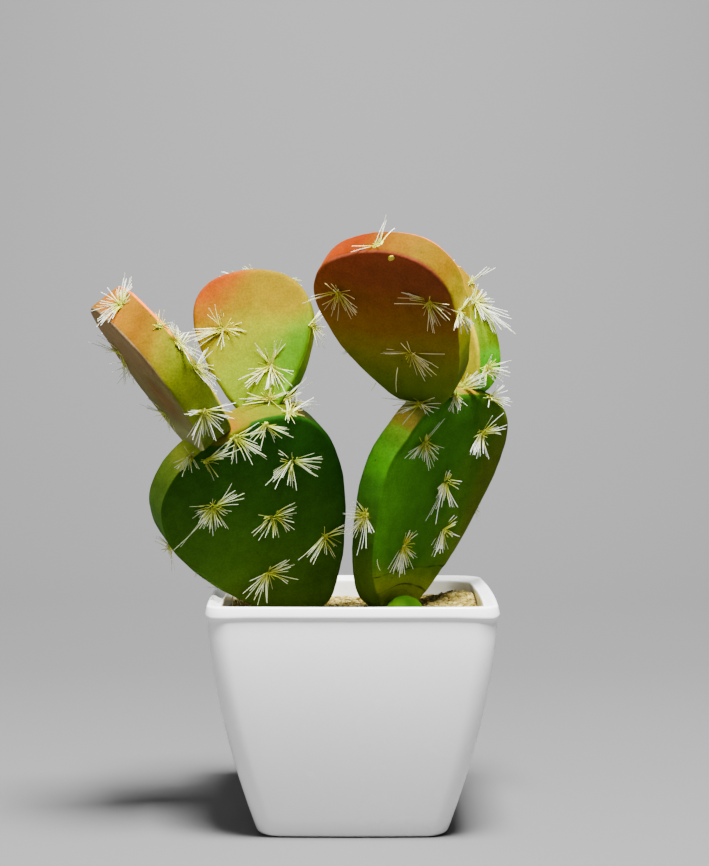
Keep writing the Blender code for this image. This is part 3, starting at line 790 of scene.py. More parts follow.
def fill_height(x, y):
    distance = hypot(x - FILL_MOUND_PLACE[0], y - FILL_MOUND_PLACE[1])
    mound = FILL_MOUND * exp(-(distance / FILL_MOUND_REACH) ** 2)
    wave = noise.noise(Vector((x, y, 0)) / FILL_WAVE)
    wave += 0.5 * noise.noise(Vector((x, y, FILL_RIPPLE_PLACE)) / FILL_RIPPLE)
    return FILL_LEVEL + mound + FILL_ROUGHNESS * wave


def into_pot(x, y, half):
    """Takes a point of the square from -1 to 1 to the same place in the pot's round-cornered one."""
    spread = max(abs(x), abs(y))
    if spread == 0:
        return Vector((0, 0))
    point = Vector((x, y)) * half / spread
    flat = half - FILL_CORNER
    core = Vector((clamp(point.x, -flat, flat), clamp(point.y, -flat, flat)))
    arm = point - core
    if arm.length > 0:
        point = core + arm * (FILL_CORNER / arm.length)
    return swell(*point, half, SIDE_BULGE) * spread


def make_filler(stems):
    """The bed of sandy grit: a crumbly top over a tapered block."""
    deselect()
    bpy.ops.mesh.primitive_grid_add(x_subdivisions=FILL_GRID, y_subdivisions=FILL_GRID, size=2)
    bed = bpy.context.object
    half = wall_half(FILL_LEVEL) - WALL - FILL_CLEARANCE
    for vert in bed.data.vertices:
        x, y = into_pot(vert.co.x, vert.co.y, half)
        crumb = FILL_CRUMB * noise.noise(Vector((x, y, 0)) / FILL_CRUMB_WAVE)
        vert.co = (x, y, fill_height(x, y) + crumb)
    mode("EDIT")
    bpy.ops.mesh.select_all(action="SELECT")
    bpy.ops.mesh.region_to_loop()
    for low, clearance in FILL_SKIRT:
        bpy.ops.mesh.extrude_edges_move()
        cage = bmesh.from_edit_mesh(bed.data)
        lower_half = wall_half(low * MM) - WALL - clearance * MM
        for vert in cage.verts:
            if vert.select:
                vert.co = (vert.co.x * lower_half / half, vert.co.y * lower_half / half, low * MM)
        bmesh.update_edit_mesh(bed.data)
        half = lower_half
    bpy.ops.mesh.edge_face_add()
    face_outward()
    smooth(bed, ROUND_SMOOTH)
    finish_piece(bed, "sandy_filler", sandy_grit("sandy_filler"))
    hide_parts("filler")
    make_grains(stems)


def make_grains(stems):
    """Loose grains on the bed, each a copy of one rough pebble, turned and sized by chance."""
    points, faces = stone_pattern(1, GRAIN_LUMPS)
    rng = random.Random(GRAIN_SEED)
    heap = Heap("tone")
    half = wall_half(FILL_LEVEL) - WALL - GRAIN_INSET
    while len(heap.verts) < GRAIN_COUNT * len(points):
        x, y = into_pot(rng.uniform(-1, 1), rng.uniform(-1, 1), half)
        size = rng.uniform(*GRAIN_RADIUS) * rng.choice(GRAIN_SORTS)
        centre = Vector((x, y, fill_height(x, y) + size * rng.uniform(*GRAIN_RISE)))
        tone = rng.random()
        if any(inside_pad(pad, centre, GRAIN_IN_PAD) for pad in stems):
            continue
        angle = rng.uniform(*GRAIN_TURN)
        turn = Matrix.Rotation(angle, 3, Vector((rng.uniform(-1, 1), rng.uniform(-1, 1), 1)))
        shape = Vector((size, size * rng.uniform(*GRAIN_WIDTH), size * rng.uniform(*GRAIN_HEIGHT)))
        heap.add([centre + turn @ (point * shape) for point in points], faces, tone=tone)
    finish_piece(heap.item(), "sand_grains", sandy_grit("sand_grains", loose=True))


# Pads


def pad_matrix(pad):
    """Takes (across, up, out of the front face) to the world."""
    turn = Matrix.Rotation(radians(pad.turn), 4, "Z")
    lean = Matrix.Rotation(radians(pad.lean), 4, "X")
    tilt = Matrix.Rotation(radians(pad.tilt), 4, "Y")
    stand = Matrix.Rotation(radians(90), 4, "X")
    return Matrix.Translation(Vector(pad.foot) * MM) @ turn @ lean @ tilt @ stand


def face_of(pad):
    """How far a pad's faces lie from its mid plane."""
    return pad.thickness / 2 * MM


def outline_point(pad, angle):
    """A point of a pad's outline, as (across, up), with the angle measured from the tip."""
    c = cos(angle)
    s = sin(angle)
    up = copysign(abs(c) ** (2 / pad.square), c)
    across = copysign(abs(s) ** (2 / pad.square), s)
    wave = 1 + pad.skew[0] * cos(3 * angle) + pad.skew[1] * sin(3 * angle)
    up *= wave
    across *= wave * (1 + pad.egg * up)
    return Vector((pad.width / 2 * MM * across, pad.length / 2 * MM * (1 + up)))


def heading_of(arm):
    return int(degrees(atan2(arm.x, arm.y))) % 360


def reach_table(pad):
    """How far the outline lies from the pad's middle, for each degree of heading."""
    middle = Vector((0, pad.length / 2 * MM))
    reaches = [None] * 360
    for step in range(720):
        arm = outline_point(pad, radians(step / 2)) - middle
        reaches[heading_of(arm)] = arm.length
    for heading in range(360):
        reaches[heading] = reaches[heading] or reaches[heading - 1]
    return reaches


STANDS = {pad.name: pad_matrix(pad).inverted() for pad in PADS}
REACHES = {pad.name: reach_table(pad) for pad in PADS}


def inside_pad(pad, point, margin):
    """Whether a point lies in a pad's slab, or closer to it than the margin."""
    local = STANDS[pad.name] @ point
    if abs(local.z) > face_of(pad) + margin:
        return False
    arm = Vector((local.x, local.y - pad.length / 2 * MM))
    if arm.length > pad.length * MM:
        return False
    return arm.length < REACHES[pad.name][heading_of(arm)] + margin


def slab_cage(pad):
    """A disc with rings on its faces and bands on its side, ready to be drawn to the outline."""
    deselect()
    bpy.ops.mesh.primitive_cylinder_add(vertices=RIM_STEPS, radius=1, depth=2, end_fill_type="NGON")
    slab = bpy.context.object
    mode("EDIT")
    select_edges(slab, lambda edge: rise_of(edge) > 1)
    bpy.ops.mesh.subdivide(number_cuts=SIDE_BANDS - 1)
    bpy.ops.mesh.select_mode(type="FACE")
    cage = bmesh.from_edit_mesh(slab.data)
    for face in cage.faces:
        face.select = len(face.verts) > 4
    bmesh.update_edit_mesh(slab.data)
    before = 1.0
    rings = FACE_RINGS
    if pad.name in FOOT_LAYERS:
        rings = [FACE_RINGS[0] - LAYER_RING * step for step in range(LAYER_RINGS)]
    for ring in rings:
        bpy.ops.mesh.inset(thickness=before - ring, use_individual=True)
        before = ring
    bpy.ops.mesh.poke()
    mode("OBJECT")
    return slab


def slab_point(pad, vert):
    """Where a point of the disc lies on the pad: its side turns over a round edge into a crowned face."""
    edge = pad.edge * MM
    middle = Vector((0, pad.length / 2 * MM))
    share = min(hypot(vert.x, vert.y), 1.0)
    arm = outline_point(pad, atan2(vert.x, vert.y)) - middle
    bands = abs(vert.z) * SIDE_BANDS / 2
    turned = radians(EDGE_TURN) * max(bands - SIDE_BANDS / 2 + EDGE_BANDS, 0)
    rise = 0.0
    if share < FACE_FROM:
        turned = radians(FACE_TURN)
        share /= FACE_RINGS[0]
        rise = FACE_CROWN * (1 - share ** 2)
    share *= 1 - edge * (1 - cos(turned)) / arm.length
    depth = face_of(pad) - edge * (1 - sin(turned)) + rise
    if turned == 0:
        depth = (face_of(pad) - edge) * bands / (SIDE_BANDS / 2 - EDGE_BANDS)
    flat = middle + arm * share
    return Vector((flat.x, flat.y, copysign(depth, vert.z)))


def hand_cut(pad, point):
    """Small unevenness of foam cut and pressed by hand."""
    seed = Vector((len(pad.name), pad.turn, 0))
    broad = noise.noise_vector(point / BROAD_CUT + seed) * HAND_CUT
    fine = noise.noise_vector(point / FINE_CUT + seed) * HAND_CUT * FINE_SHARE
    return broad + fine


def foot_folds(pad, point):
    """How far the layers at the foot lie back under one another on the front face."""
    across = point.x / MM
    back = 0.0
    for peak, lean, bend in FOOT_LAYERS.get(pad.name, ()):
        edge = peak + lean * across - bend * (across - LAYER_MIDDLE) ** 2
        edge += LAYER_WANDER * sin(across * LAYER_WAVE + peak)
        step = clamp((edge - point.y / MM) / LAYER_RUN)
        back += LAYER_STEP * step * step * (3 - 2 * step)
    return back * max(point.z / face_of(pad), 0)


def make_pad_body(pad):
    slab = slab_cage(pad)
    matrix = pad_matrix(pad)
    for vert in slab.data.vertices:
        point = slab_point(pad, vert.co)
        point += hand_cut(pad, point)
        point.z -= foot_folds(pad, point)
        vert.co = matrix @ point
    focus(slab)
    mode("EDIT")
    face_outward()
    return slab


def seat_on(child, parent):
    """Presses the child's foot against its parent: what would lie in the parent is cut away."""
    focus(parent)
    bpy.ops.object.duplicate()
    tool = bpy.context.object
    mode("EDIT")
    bpy.ops.mesh.select_all(action="SELECT")
    bpy.ops.transform.shrink_fatten(value=PRESS)
    mode("OBJECT")
    cut(child, tool)


def make_pads():
    bodies = {pad.name: make_pad_body(pad) for pad in PADS}
    for pad in PADS:
        if pad.parent:
            seat_on(bodies[pad.name], bodies[pad.parent])
    for pad in PADS:
        body = bodies[pad.name]
        smooth(body, PAD_SMOOTH)
        finish_piece(body, pad.name + "_foam", sprayed_foam(pad))
        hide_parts(pad.name)


# Bristles


def edge_drop(pad, depth):
    """How far the rounded edge lies below the rim at a depth from the mid plane."""
    past = max(abs(depth) - (pad.thickness / 2 - pad.edge), 0)
    return (pad.edge - sqrt(pad.edge ** 2 - past ** 2)) * MM


def tuft_frames(pad):
    """Key, place and outward direction of each tuft of a pad, in the world."""
    matrix = pad_matrix(pad)
    turned = matrix.to_3x3()
    half = face_of(pad)
    found = []
    for side, kind, tufts in ((1, "front", pad.front), (-1, "back", pad.back)):
        for index, (across, up) in enumerate(tufts):
            place = Vector((across * MM, up * MM, side * half))
            found.append((f"{kind} {index}", matrix @ place, turned @ Vector((0, 0, side))))
    for angle, depth in pad.rim:
        here = outline_point(pad, radians(angle))
        along = outline_point(pad, radians(angle + 1)) - outline_point(pad, radians(angle - 1))
        out = Vector((-along.y, along.x, 0)).normalized()
        place = Vector((here.x, here.y, -depth * MM)) - out * edge_drop(pad, depth)
        over = clamp((abs(depth) * MM / half - OVER_FROM) / (1 - OVER_FROM)) * OVER_MOST
        out = (out * (1 - over) + Vector((0, 0, -copysign(over, depth)))).normalized()
        found.append((f"rim {angle}", matrix @ place, turned @ out))
    return found


def seen_direction(out, angle):
    """The direction in the surface that looks turned by the angle when it is seen from the front."""
    seen = Vector((cos(radians(angle)), 0, sin(radians(angle))))
    if abs(out.y) > SIDE_ON:
        seen.y = clamp(-(out.x * seen.x + out.z * seen.z) / out.y, -STEEPEST, STEEPEST)
    flat = seen - out * seen.dot(out)
    return flat.normalized() if flat.length > TOO_SHORT else out.orthogonal().normalized()


def raised(flat, out, rise):
    """A direction along the surface, lifted by a rise in degrees."""
    rise = radians(rise)
    return (flat * cos(rise) + out * sin(rise)).normalized()


def usual_fans(rng):
    lean = rng.uniform(-USUAL_LEAN, USUAL_LEAN)
    return [(angle + lean, spread, rng.randint(*count), length)
            for angle, spread, count, length in USUAL_FANS]


def tuft_rays(fans, place, out, rng):
    """Root, direction, bend and length of each bristle. They cross over the knot in the middle."""
    rays = []
    for angle, spread, count, length, *steeper in fans or usual_fans(rng):
        for index in range(count):
            share = (index + rng.uniform(*FAN_SLIP)) / count * 2 - 1
            flat = seen_direction(out, angle + spread * share * rng.uniform(*FAN_WIDEN))
            direction = raised(flat, out, rng.uniform(*BRISTLE_RISE) + sum(steeper))
            root = place - flat * TUFT_SPREAD * rng.uniform(*TUFT_BACK) - out * TUFT_SUNK
            root += out.cross(flat) * TUFT_SPREAD * rng.gauss(0, TUFT_ASIDE)
            bend = chance_vector(rng, BRISTLE_SPREADS)
            reach = (length * rng.uniform(*BRISTLE_LENGTH) + BRISTLE_LONGER) * MM
            rays.append((root, direction, bend, reach))
    return rays


def matted_rays(place, out, rng):
    """Short fibres that lie tangled over the knot."""
    rays = []
    for _ in range(MATTED_FIBRES):
        flat = seen_direction(out, rng.uniform(0, 360))
        direction = raised(flat, out, rng.uniform(*MATTED_RISE))
        root = place - flat * rng.uniform(*MATTED_BACK) * MM
        root += out.cross(flat) * rng.gauss(0, MATTED_ASIDE) * MM
        bend = chance_vector(rng, [(0, MATTED_BEND)] * 3)
        rays.append((root, direction, bend, rng.uniform(*MATTED_LENGTH) * MM))
    return rays


def stray_rays(pad):
    """Place and ray of the single long bristles that bend over on the front face."""
    matrix = pad_matrix(pad)
    out = matrix.to_3x3() @ Vector((0, 0, 1))
    rays = []
    for across, up, angle, length, sag in STRAYS.get(pad.name, ()):
        place = matrix @ Vector((across * MM, up * MM, face_of(pad)))
        flat = seen_direction(out, angle)
        direction = flat * STRAY_FLAT + out * STRAY_RISE
        ray = (place - out * STRAY_SUNK, direction, out.cross(flat) * sag, length * MM)
        rays.append((place - flat * STRAY_BACK, ray))
    return rays


def rod_pattern():
    """One bristle, a thin rod along +Z with joints to bend at."""
    deselect()
    bpy.ops.mesh.primitive_cylinder_add(vertices=BRISTLE_SIDES, radius=1, depth=1, location=(0, 0, 0.5))
    rod = bpy.context.object
    bpy.ops.object.transform_apply(location=True)
    mode("EDIT")
    select_edges(rod, lambda edge: rise_of(edge) > 0.5)
    bpy.ops.mesh.subdivide(number_cuts=BRISTLE_JOINTS - 1)
    mode("OBJECT")
    return pattern_of(rod)


def blocked(pad, root, direction, length):
    """Whether a bristle would run through another pad, the filler or the pot's rim."""
    for share in BLOCK_CHECKS:
        point = root + direction * length * share
        beyond = max(abs(point.x), abs(point.y)) > wall_half(POT_HEIGHT) - WALL - LIP_MARGIN
        if point.z < FILL_LEVEL or point.z < POT_HEIGHT and beyond:
            return True
        if any(inside_pad(other, point, 0.0) for other in PADS if other is not pad):
            return True
    return False


def add_knot(heap, knob, size, place, out, rng):
    """The flat knot that holds a tuft together, lying along the slope of the surface."""
    side = seen_direction(out, rng.uniform(*KNOT_TURN))
    other = out.cross(side)
    long, wide = [length * rng.uniform(*KNOT_UNEVEN) * MM for length in size]
    points, faces = knob
    places = [place + side * point.x * long + other * point.y * wide + out * point.z * KNOT_HEIGHT
              for point in points]
    alongs = [(spot - place).length / FULL_BRISTLE * KNOT_FADE for spot in places]
    heap.add(places, faces, along=alongs, tone=KNOT_TONE)


def add_bristle(heap, rod, place, ray, rng):
    root, direction, bend, length = ray
    side = direction.orthogonal().normalized()
    other = direction.cross(side)
    radius = BRISTLE_RADIUS * rng.uniform(*BRISTLE_UNEVEN)
    points, faces = rod
    places = []
    for point in points:
        thin = radius * (1 - BRISTLE_TAPER * point.z ** 2)
        line = root + (direction * point.z + bend * point.z ** 2) * length
        places.append(line + (side * point.x + other * point.y) * thin)
    alongs = [(spot - place).length / FULL_BRISTLE for spot in places]
    heap.add(places, faces, along=alongs, tone=rng.random())


def make_bristles(pad, rod, knob, rng):
    heap = Heap("along", "tone")
    for key, place, out in tuft_frames(pad):
        add_knot(heap, knob, KNOTS.get(f"{pad.name} {key}", KNOT_SIZE), place, out, rng)
        fans = FANS.get(pad.name, {}).get(key)
        for ray in tuft_rays(fans, place, out, rng) + matted_rays(place, out, rng):
            if not blocked(pad, ray[0], ray[1], ray[3]):
                add_bristle(heap, rod, place, ray, rng)
    if pad.name in CHIPS:
        across, up, size = CHIPS[pad.name]
        matrix = pad_matrix(pad)
        place = matrix @ Vector((across * MM, up * MM, face_of(pad)))
        add_knot(heap, knob, size, place, matrix.to_3x3() @ Vector((0, 0, 1)), rng)
    for place, ray in stray_rays(pad):
        add_bristle(heap, rod, place, ray, rng)
    item = heap.item()
    smooth(item, ROUND_SMOOTH)
    finish_piece(item, pad.name + "_bristles", bristle_fibre(pad))


def make_all_bristles():
    rng = random.Random(BRISTLE_SEED)
    rod = rod_pattern()
    knob = stone_pattern(2, KNOT_LUMPS)
    for pad in PADS:
        make_bristles(pad, rod, knob, rng)


def make_bud():
    """The small stub that pushes up at the foot of the right base pad."""
    deselect()
    bpy.ops.mesh.primitive_uv_sphere_add(segments=40, ring_count=24, radius=1)
    bud = bpy.context.object
    turn = Matrix.Rotation(radians(BUD_TURN), 3, "Z")
    turn = turn @ Matrix.Rotation(radians(BUD_LEAN), 3, "X")
    for vert in bud.data.vertices:
        point = Vector([vert.co[axis] * BUD_RADII[axis] for axis in range(3)])
        around = atan2(point.y, point.x)
        ribs = 1 - BUD_RIB * (0.5 + 0.5 * cos(BUD_RIBS * around)) * (1 - abs(vert.co.z))
        point = Vector((point.x * ribs, point.y * ribs, point.z))
        point += noise.noise_vector(point / BUD_WAVE) * BUD_UNEVEN
        vert.co = Vector(BUD_CENTRE) + turn @ point
    smooth(bud, ROUND_SMOOTH)
    finish_piece(bud, "base_bud_foam", bud_foam())
    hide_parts("base_bud")


# Finishes


def colour(red, green, blue):
    """A shade as a paint card gives it, from 0 to 255, turned into the shader's own scale."""
    return (*[((part / 255 + 0.055) / 1.055) ** 2.4 if part > 10 else part / 255 / 12.92
              for part in (red, green, blue)], 1.0)


def feed(node, sockets):
    """Feeds a node's sockets with values or with other nodes' outputs."""
    for key, value in sockets.items():
        if isinstance(value, bpy.types.NodeSocket):
            node.id_data.links.new(value, node.inputs[key])
        else:
            node.inputs[key].default_value = value


def add(kind, sockets, tree=None, **settings):
    """Adds a node to the tree, or else to that of the nodes that feed it, and sets it up."""
    if tree is None:
        tree = next(value.id_data for value in sockets.values() if isinstance(value, bpy.types.NodeSocket))
    node = tree.nodes.new("ShaderNode" + kind)
    for key, value in settings.items():
        setattr(node, key, value)
    feed(node, sockets)
    return node


def new_finish(name):
    """A material, its shader, and where on the piece a point lies."""
    finish = bpy.data.materials.new(name)
    finish.use_nodes = True
    shader = finish.node_tree.nodes["Principled BSDF"]
    return finish, shader, add("TexCoord", {}, finish.node_tree).outputs["Object"]


def stored(shader, name):
    """The value of that name at each point of the piece."""
    return add("Attribute", {}, shader.id_data, attribute_name=name).outputs["Fac"]


def fade(value, stops):
    """A colour that runs through the stops as the value goes from 0 to 1."""
    ramp = add("ValToRGB", {"Fac": value})
    ramp.color_ramp.interpolation = "EASE"
    while len(ramp.color_ramp.elements) < len(stops):
        ramp.color_ramp.elements.new(0.5)
    for element, (spot, *shade) in zip(ramp.color_ramp.elements, stops):
        element.position = spot
        element.color = colour(*shade)
    return ramp.outputs["Color"]


def mix(share, low, high, blend="MIX"):
    return add("Mix", {0: share, 6: low, 7: high}, data_type="RGBA", blend_type=blend).outputs[2]


def dimmed(paint, value):
    grey = add("CombineColor", {0: value, 1: value, 2: value}).outputs[0]
    return mix(1.0, paint, grey, "MULTIPLY")


def calc(operation, first, *others):
    """A function of one value, or a sum, a product and so on, worked out from left to right."""
    for other in others or [0.0]:
        first = add("Math", {0: first, 1: other}, operation=operation).outputs[0]
    return first


def plus(*values):
    return calc("ADD", *values)


def times(*values):
    return calc("MULTIPLY", *values)


def minus(first, second):
    return calc("SUBTRACT", first, second)


def span(value, low, high, to_low=0.0, to_high=1.0):
    """Spreads the value's range from low to high smoothly over the other range."""
    sockets = {"Value": value, "From Min": low, "From Max": high, "To Min": to_low, "To Max": to_high}
    return add("MapRange", sockets, interpolation_type="SMOOTHSTEP").outputs["Result"]


def cloud(place, scale, detail=2.0, rough=0.5):
    sockets = {"Vector": place, "Scale": scale, "Detail": detail, "Roughness": rough}
    return add("TexNoise", sockets).outputs["Fac"]


def cells(place, scale):
    return add("TexVoronoi", {"Vector": place, "Scale": scale, "Randomness": 1.0}).outputs


def bump(height, strength, distance, **normal):
    sockets = {"Height": height, "Strength": strength, "Distance": distance, **normal}
    return add("Bump", sockets).outputs["Normal"]


def vector(operation, first, second):
    return add("VectorMath", {0: first, 1: second}, operation=operation).outputs["Value"]


def parts(place):
    return add("SeparateXYZ", {0: place}).outputs


def face_fade(local, pad, warp, fade_of):
    """One fade across a face, in a direction from the tip, with a cloudy edge as a spray gun leaves it."""
    angle, stops = fade_of
    angle = radians(angle)
    length = pad.length * MM
    along = vector("DOT_PRODUCT", local, (sin(angle) / length, cos(angle) / length, 0))
    return fade(plus(along, 0.5 - cos(angle) * 0.5, warp), stops)


def rim_fade(spot, pad, warp, fade_of):
    """Shades around a rim, by the direction from the pad's middle."""
    slant, stops = fade_of
    across, up, depth = spot
    turn = calc("ARCTAN2", across, minus(up, pad.length / 2 * MM))
    slanted = times(depth, slant / 360 / MM)
    share = plus(calc("DIVIDE", turn, 2 * pi), 0.5, slanted, times(warp, RIM_WARP))
    return fade(share, [((angle + 180) / 360, *shade) for angle, *shade in stops])


def front_paint(local, spot, pad, warp):
    """The front face's fade, with its sprayed patches and the shade at its foot."""
    fades = FADES[pad.name]
    front = face_fade(local, pad, warp, fades["front"])
    for across, up, reach, soft, shade in fades.get("sprays", ()):
        apart = vector("DISTANCE", local, (across * MM, up * MM, face_of(pad)))
        apart = plus(apart, times(warp, SPRAY_WARP * soft * MM))
        inner = (reach - soft / 2) * MM
        front = mix(span(apart, inner, inner + soft * MM, SPRAY_COVER, 0.0), front, colour(*shade))
    shade, height = fades["foot"]
    rise = plus(spot[1], times(warp, FOOT_WARP))
    low, high = [height * share * MM for share in FOOT_FADE]
    return mix(span(rise, low, high, FOOT_COVER, 0.0), front, colour(*shade))


def foot_layers(place, spot, pad, warp, paint):
    """Painted shadow in the step under each layer of foam at a foot, and painted shade in fine creases
    below.
    """
    across, up, depth = spot
    face = face_of(pad)
    in_front = span(depth, face - LAYER_FRONT[0], face - LAYER_FRONT[1])
    for peak, lean, bend in FOOT_LAYERS[pad.name]:
        off_peak = minus(across, LAYER_MIDDLE * MM)
        edge = minus(times(across, lean), times(off_peak, off_peak, bend / MM))
        wave = plus(times(across, LAYER_WAVE / MM), peak)
        wave = times(calc("SINE", wave), LAYER_WANDER * MM)
        below = minus(plus(edge, wave, peak * MM), up)
        # Painted shadow under the edge of each layer
        line = times(span(below, *STEP_START), span(below, *STEP_END))
        patchy = span(cloud(place, *PATCH_CLOUD), *PATCHES)
        paint = mix(times(line, patchy, in_front), paint, colour(*STEP_SHADOW))
    # Painted shade of fine creases around the bud, below the layers
    aside = minus(across, CREASE_MIDDLE[0])
    over = minus(up, CREASE_MIDDLE[1])
    ring = calc("SQRT", plus(times(aside, aside), times(over, over)))
    ring = plus(ring, times(warp, CREASE_WARP))
    crease = calc("SINE", times(ring, 2 * pi / CREASE_APART))
    dark = times(span(crease, *CREASE), span(below, *CREASE_FROM), in_front)
    return mix(dark, paint, colour(*CREASE_SHADOW))


def pad_place(place, pad):
    """Where a point lies as seen from the pad's foot: across, up and out of its face."""
    stand = pad_matrix(pad)
    sockets = {"Vector": place, "Location": stand.translation, "Rotation": stand.to_euler()}
    return add("Mapping", sockets, vector_type="TEXTURE").outputs["Vector"]


def sprayed_foam(pad):
    """Soft foam, sprayed in fades: one look for the front face, one for the rim and one for the back,
    with painted light and shade in some rim and back shades, at the thin edge of each face and in the
    pinholes.
    """
    finish, shader, place = new_finish(pad.name + "_foam")
    local = pad_place(place, pad)
    spot = parts(local)
    depth = spot[2]
    warp = times(minus(cloud(place, *WARP_CLOUD), 0.5), WARP)
    front = front_paint(local, spot, pad, warp)
    back = face_fade(local, pad, warp, FADES[pad.name]["back"])
    rim = rim_fade(spot, pad, warp, FADES[pad.name]["rim"])
    faces = mix(span(depth, *BACK_TO_FRONT), back, front)
    half = face_of(pad)
    off_middle = calc("ABSOLUTE", depth)
    ragged = plus(off_middle, times(warp, FACE_WARP))
    paint = mix(span(ragged, half - RIM_LINE[0], half - RIM_LINE[1]), rim, faces)
    # Painted highlight along the thin edge of each face, painted shade instead where the pad's factor is
    # under 1
    highlight_in = span(off_middle, half - HIGHLIGHT_IN[0], half - HIGHLIGHT_IN[1])
    highlight_out = span(off_middle, half - HIGHLIGHT_OUT[0], half - HIGHLIGHT_OUT[1], 1.0, 0.0)
    paint = dimmed(paint, span(times(highlight_in, highlight_out), 0.0, 1.0, 1.0, pad.glow))
    paint = dimmed(paint, span(cloud(place, *MOTTLE_CLOUD), *MOTTLE))
    paint = dimmed(paint, span(cloud(place, *SPECKLE_CLOUD), *SPECKLE))
    # Painted shade in the pinholes of the foam
    pin = span(cells(place, PORE_SCALE)["Distance"], *PORE)
    rare = span(cloud(place, *PORE_CLOUD), *PORES_IN)
    paint = mix(times(pin, rare), paint, colour(*PINHOLE_SHADOW))
    if pad.name in FOOT_LAYERS:
        paint = foot_layers(place, spot, pad, warp, paint)
    grain = cloud(place, *GRAIN_CLOUD)
    soft = bump(cloud(place, *SOFT_CLOUD), *SOFT_BUMP)
    feed(shader, {
        "Base Color": paint,
        "Roughness": span(grain, *FOAM_ROUGH),
        "Normal": bump(grain, *FINE_BUMP, Normal=soft),
        "Specular IOR Level": FOAM_SHINE,
    })
    return finish


def bristle_fibre(pad):
    """Cream fibre, yellow-green where it leaves the foam, with painted shade, tinted like the face, over
    some faces.
    """
    finish, shader, place = new_finish(pad.name + "_bristles")
    tone = stored(shader, "tone")
    shade = fade(plus(stored(shader, "along"), span(tone, 0.0, 1.0, *FIBRE_SHIFT)), FIBRE)
    shade = dimmed(shade, span(calc("FRACT", times(tone, TONE_TURNS)), 0.0, 1.0, *FIBRE_DULL))
    # Painted shade on the bristles in front of the face, tinted like the face they stand over
    if pad.fibre:
        depth = parts(pad_place(place, pad))["Z"]
        on_face = span(depth, face_of(pad) - FIBRE_ON_FACE, face_of(pad))
        shade = mix(on_face, shade, colour(*pad.fibre), "MULTIPLY")
    weight, radius, scale = FIBRE_GLOW
    feed(shader, {
        "Base Color": shade,
        "Roughness": span(cloud(place, *FIBRE_CLOUD), *FIBRE_ROUGH),
        "Subsurface Weight": weight,
        "Subsurface Radius": radius,
        "Subsurface Scale": scale,
    })
    return finish


def pot_plastic():
    """White glossy plastic with the faint unevenness of a moulding, and a painted highlight on the band
    and lip.
    """
    finish, shader, place = new_finish("pot_plastic")
    low, high, painted_highlight = [colour(*shade) for shade in POT_SHADES]
    band_foot = POT_HEIGHT - BAND_HEIGHT
    # Painted highlight from just under the band's foot up over the lip
    band_highlight = span(parts(place)["Z"], band_foot - BAND_HIGHLIGHT_FADE[0], band_foot + BAND_HIGHLIGHT_FADE[1])
    wave = bump(cloud(place, 45, 1), *POT_WAVE)
    feed(shader, {
        "Base Color": mix(band_highlight, mix(cloud(place, 30), low, high), painted_highlight),
        "Roughness": span(cloud(place, 90, 3), *POT_ROUGH),
        "Normal": bump(cloud(place, 1300), *POT_GRAIN, Normal=wave),
    })
    return finish


def sandy_grit(name, loose=False):
    """Tan sand with pale, brown and dark grains."""
    finish, shader, place = new_finish(name)
    if loose:
        value = stored(shader, "tone")
    else:
        grits = cells(place, 900)
        value = add("SeparateColor", {0: grits["Color"]}).outputs[0]
        feed(shader, {"Normal": bump(grits["Distance"], *SAND_BUMP)})
    feed(shader, {
        "Base Color": dimmed(fade(value, SAND), span(cloud(place, 110, 3), *DAMP)),
        "Roughness": 0.9,
        "Specular IOR Level": 0.2,
    })
    return finish


def bud_foam():
    finish, shader, place = new_finish("base_bud_foam")
    grain = cloud(place, 1300, 3)
    feed(shader, {
        "Base Color": fade(cloud(place, 160, 3), GREENS),
        "Roughness": span(grain, *BUD_ROUGH),
        "Normal": bump(grain, *BUD_BUMP),
        "Specular IOR Level": 0.04,
    })
    return finish


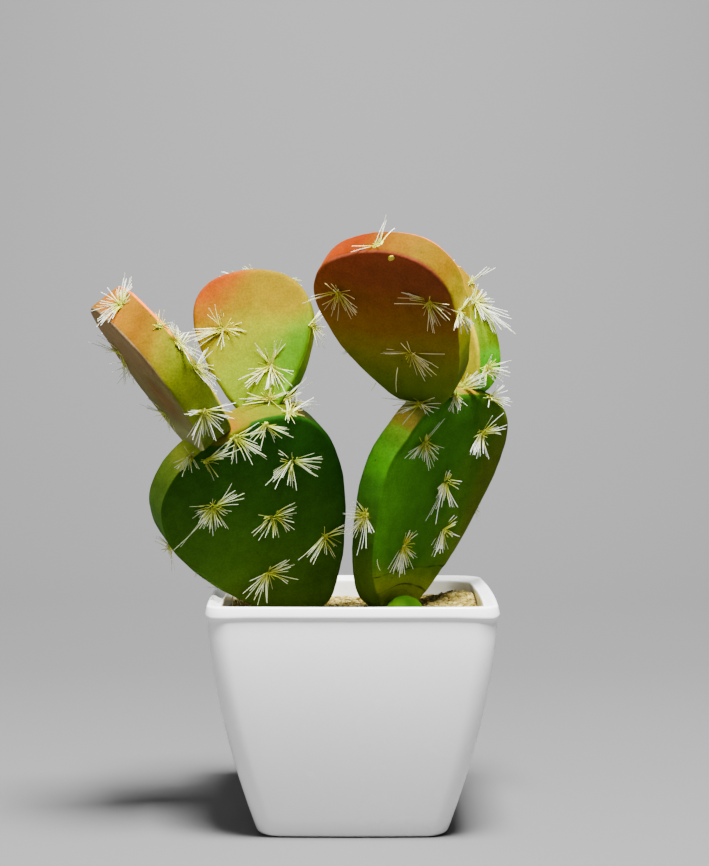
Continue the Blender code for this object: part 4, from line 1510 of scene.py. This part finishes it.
def plain_white(name, level):
    finish, shader, place = new_finish(name)
    tint = mix(cloud(place, 3, 1), colour(*[level] * 3), colour(*[level + 3] * 3))
    feed(shader, {"Base Color": tint, "Roughness": 0.85})
    return finish


# Stage


def make_floor():
    """A pale sheet that runs back and curves up behind the object."""
    deselect()
    bpy.ops.mesh.primitive_plane_add(size=SHEET_SIZE, location=SHEET_CENTRE)
    sheet = bpy.context.object
    mode("EDIT")
    select_edges(sheet, lambda edge: all(vert.co.y > SHEET_BACK for vert in edge.verts))
    bpy.ops.mesh.extrude_region_move(TRANSFORM_OT_translate={"value": (0, 0, SHEET_RISE)})
    mode("OBJECT")
    bpy.ops.object.transform_apply(location=True)
    round_edges(sheet, SHEET_CURVE, SHEET_SEGMENTS)
    smooth(sheet, PAD_SMOOTH)
    sheet.name = "floor"
    sheet.data.materials.append(plain_white("floor", SHEET_SHADE))


def soft_light(name, place, aim, size, power):
    lamp = bpy.data.lights.new(name, "AREA")
    lamp.shape = "SQUARE"
    lamp.size = size
    lamp.energy = power
    holder = bpy.data.objects.new(name, lamp)
    bpy.context.scene.collection.objects.link(holder)
    holder.location = place
    holder.rotation_euler = (Vector(aim) - Vector(place)).to_track_quat("-Z", "Y").to_euler()


def make_lights():
    for light in LIGHTS:
        soft_light(*light)
    world = bpy.data.worlds.new("studio")
    world.use_nodes = True
    feed(world.node_tree.nodes["Background"], {"Color": ROOM_SHADE, "Strength": ROOM_POWER})
    bpy.context.scene.world = world


def make_camera():
    drop = radians(VIEW_DROP)
    data = bpy.data.cameras.new("camera")
    data.lens = LENS
    data.sensor_width = SENSOR
    data.clip_start = 0.01
    camera = bpy.data.objects.new("camera", data)
    bpy.context.scene.collection.objects.link(camera)
    camera.location = Vector(VIEW_TARGET) + VIEW_DISTANCE * Vector((0, -cos(drop), sin(drop)))
    camera.rotation_euler = (radians(90) - drop, 0, 0)
    bpy.context.scene.camera = camera


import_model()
noise.seed_set(NOISE_SEED)
make_camera()
make_lights()
make_floor()
make_pot()
make_filler([pad for pad in PADS if not pad.parent])
make_pads()
make_bud()
make_all_bristles()
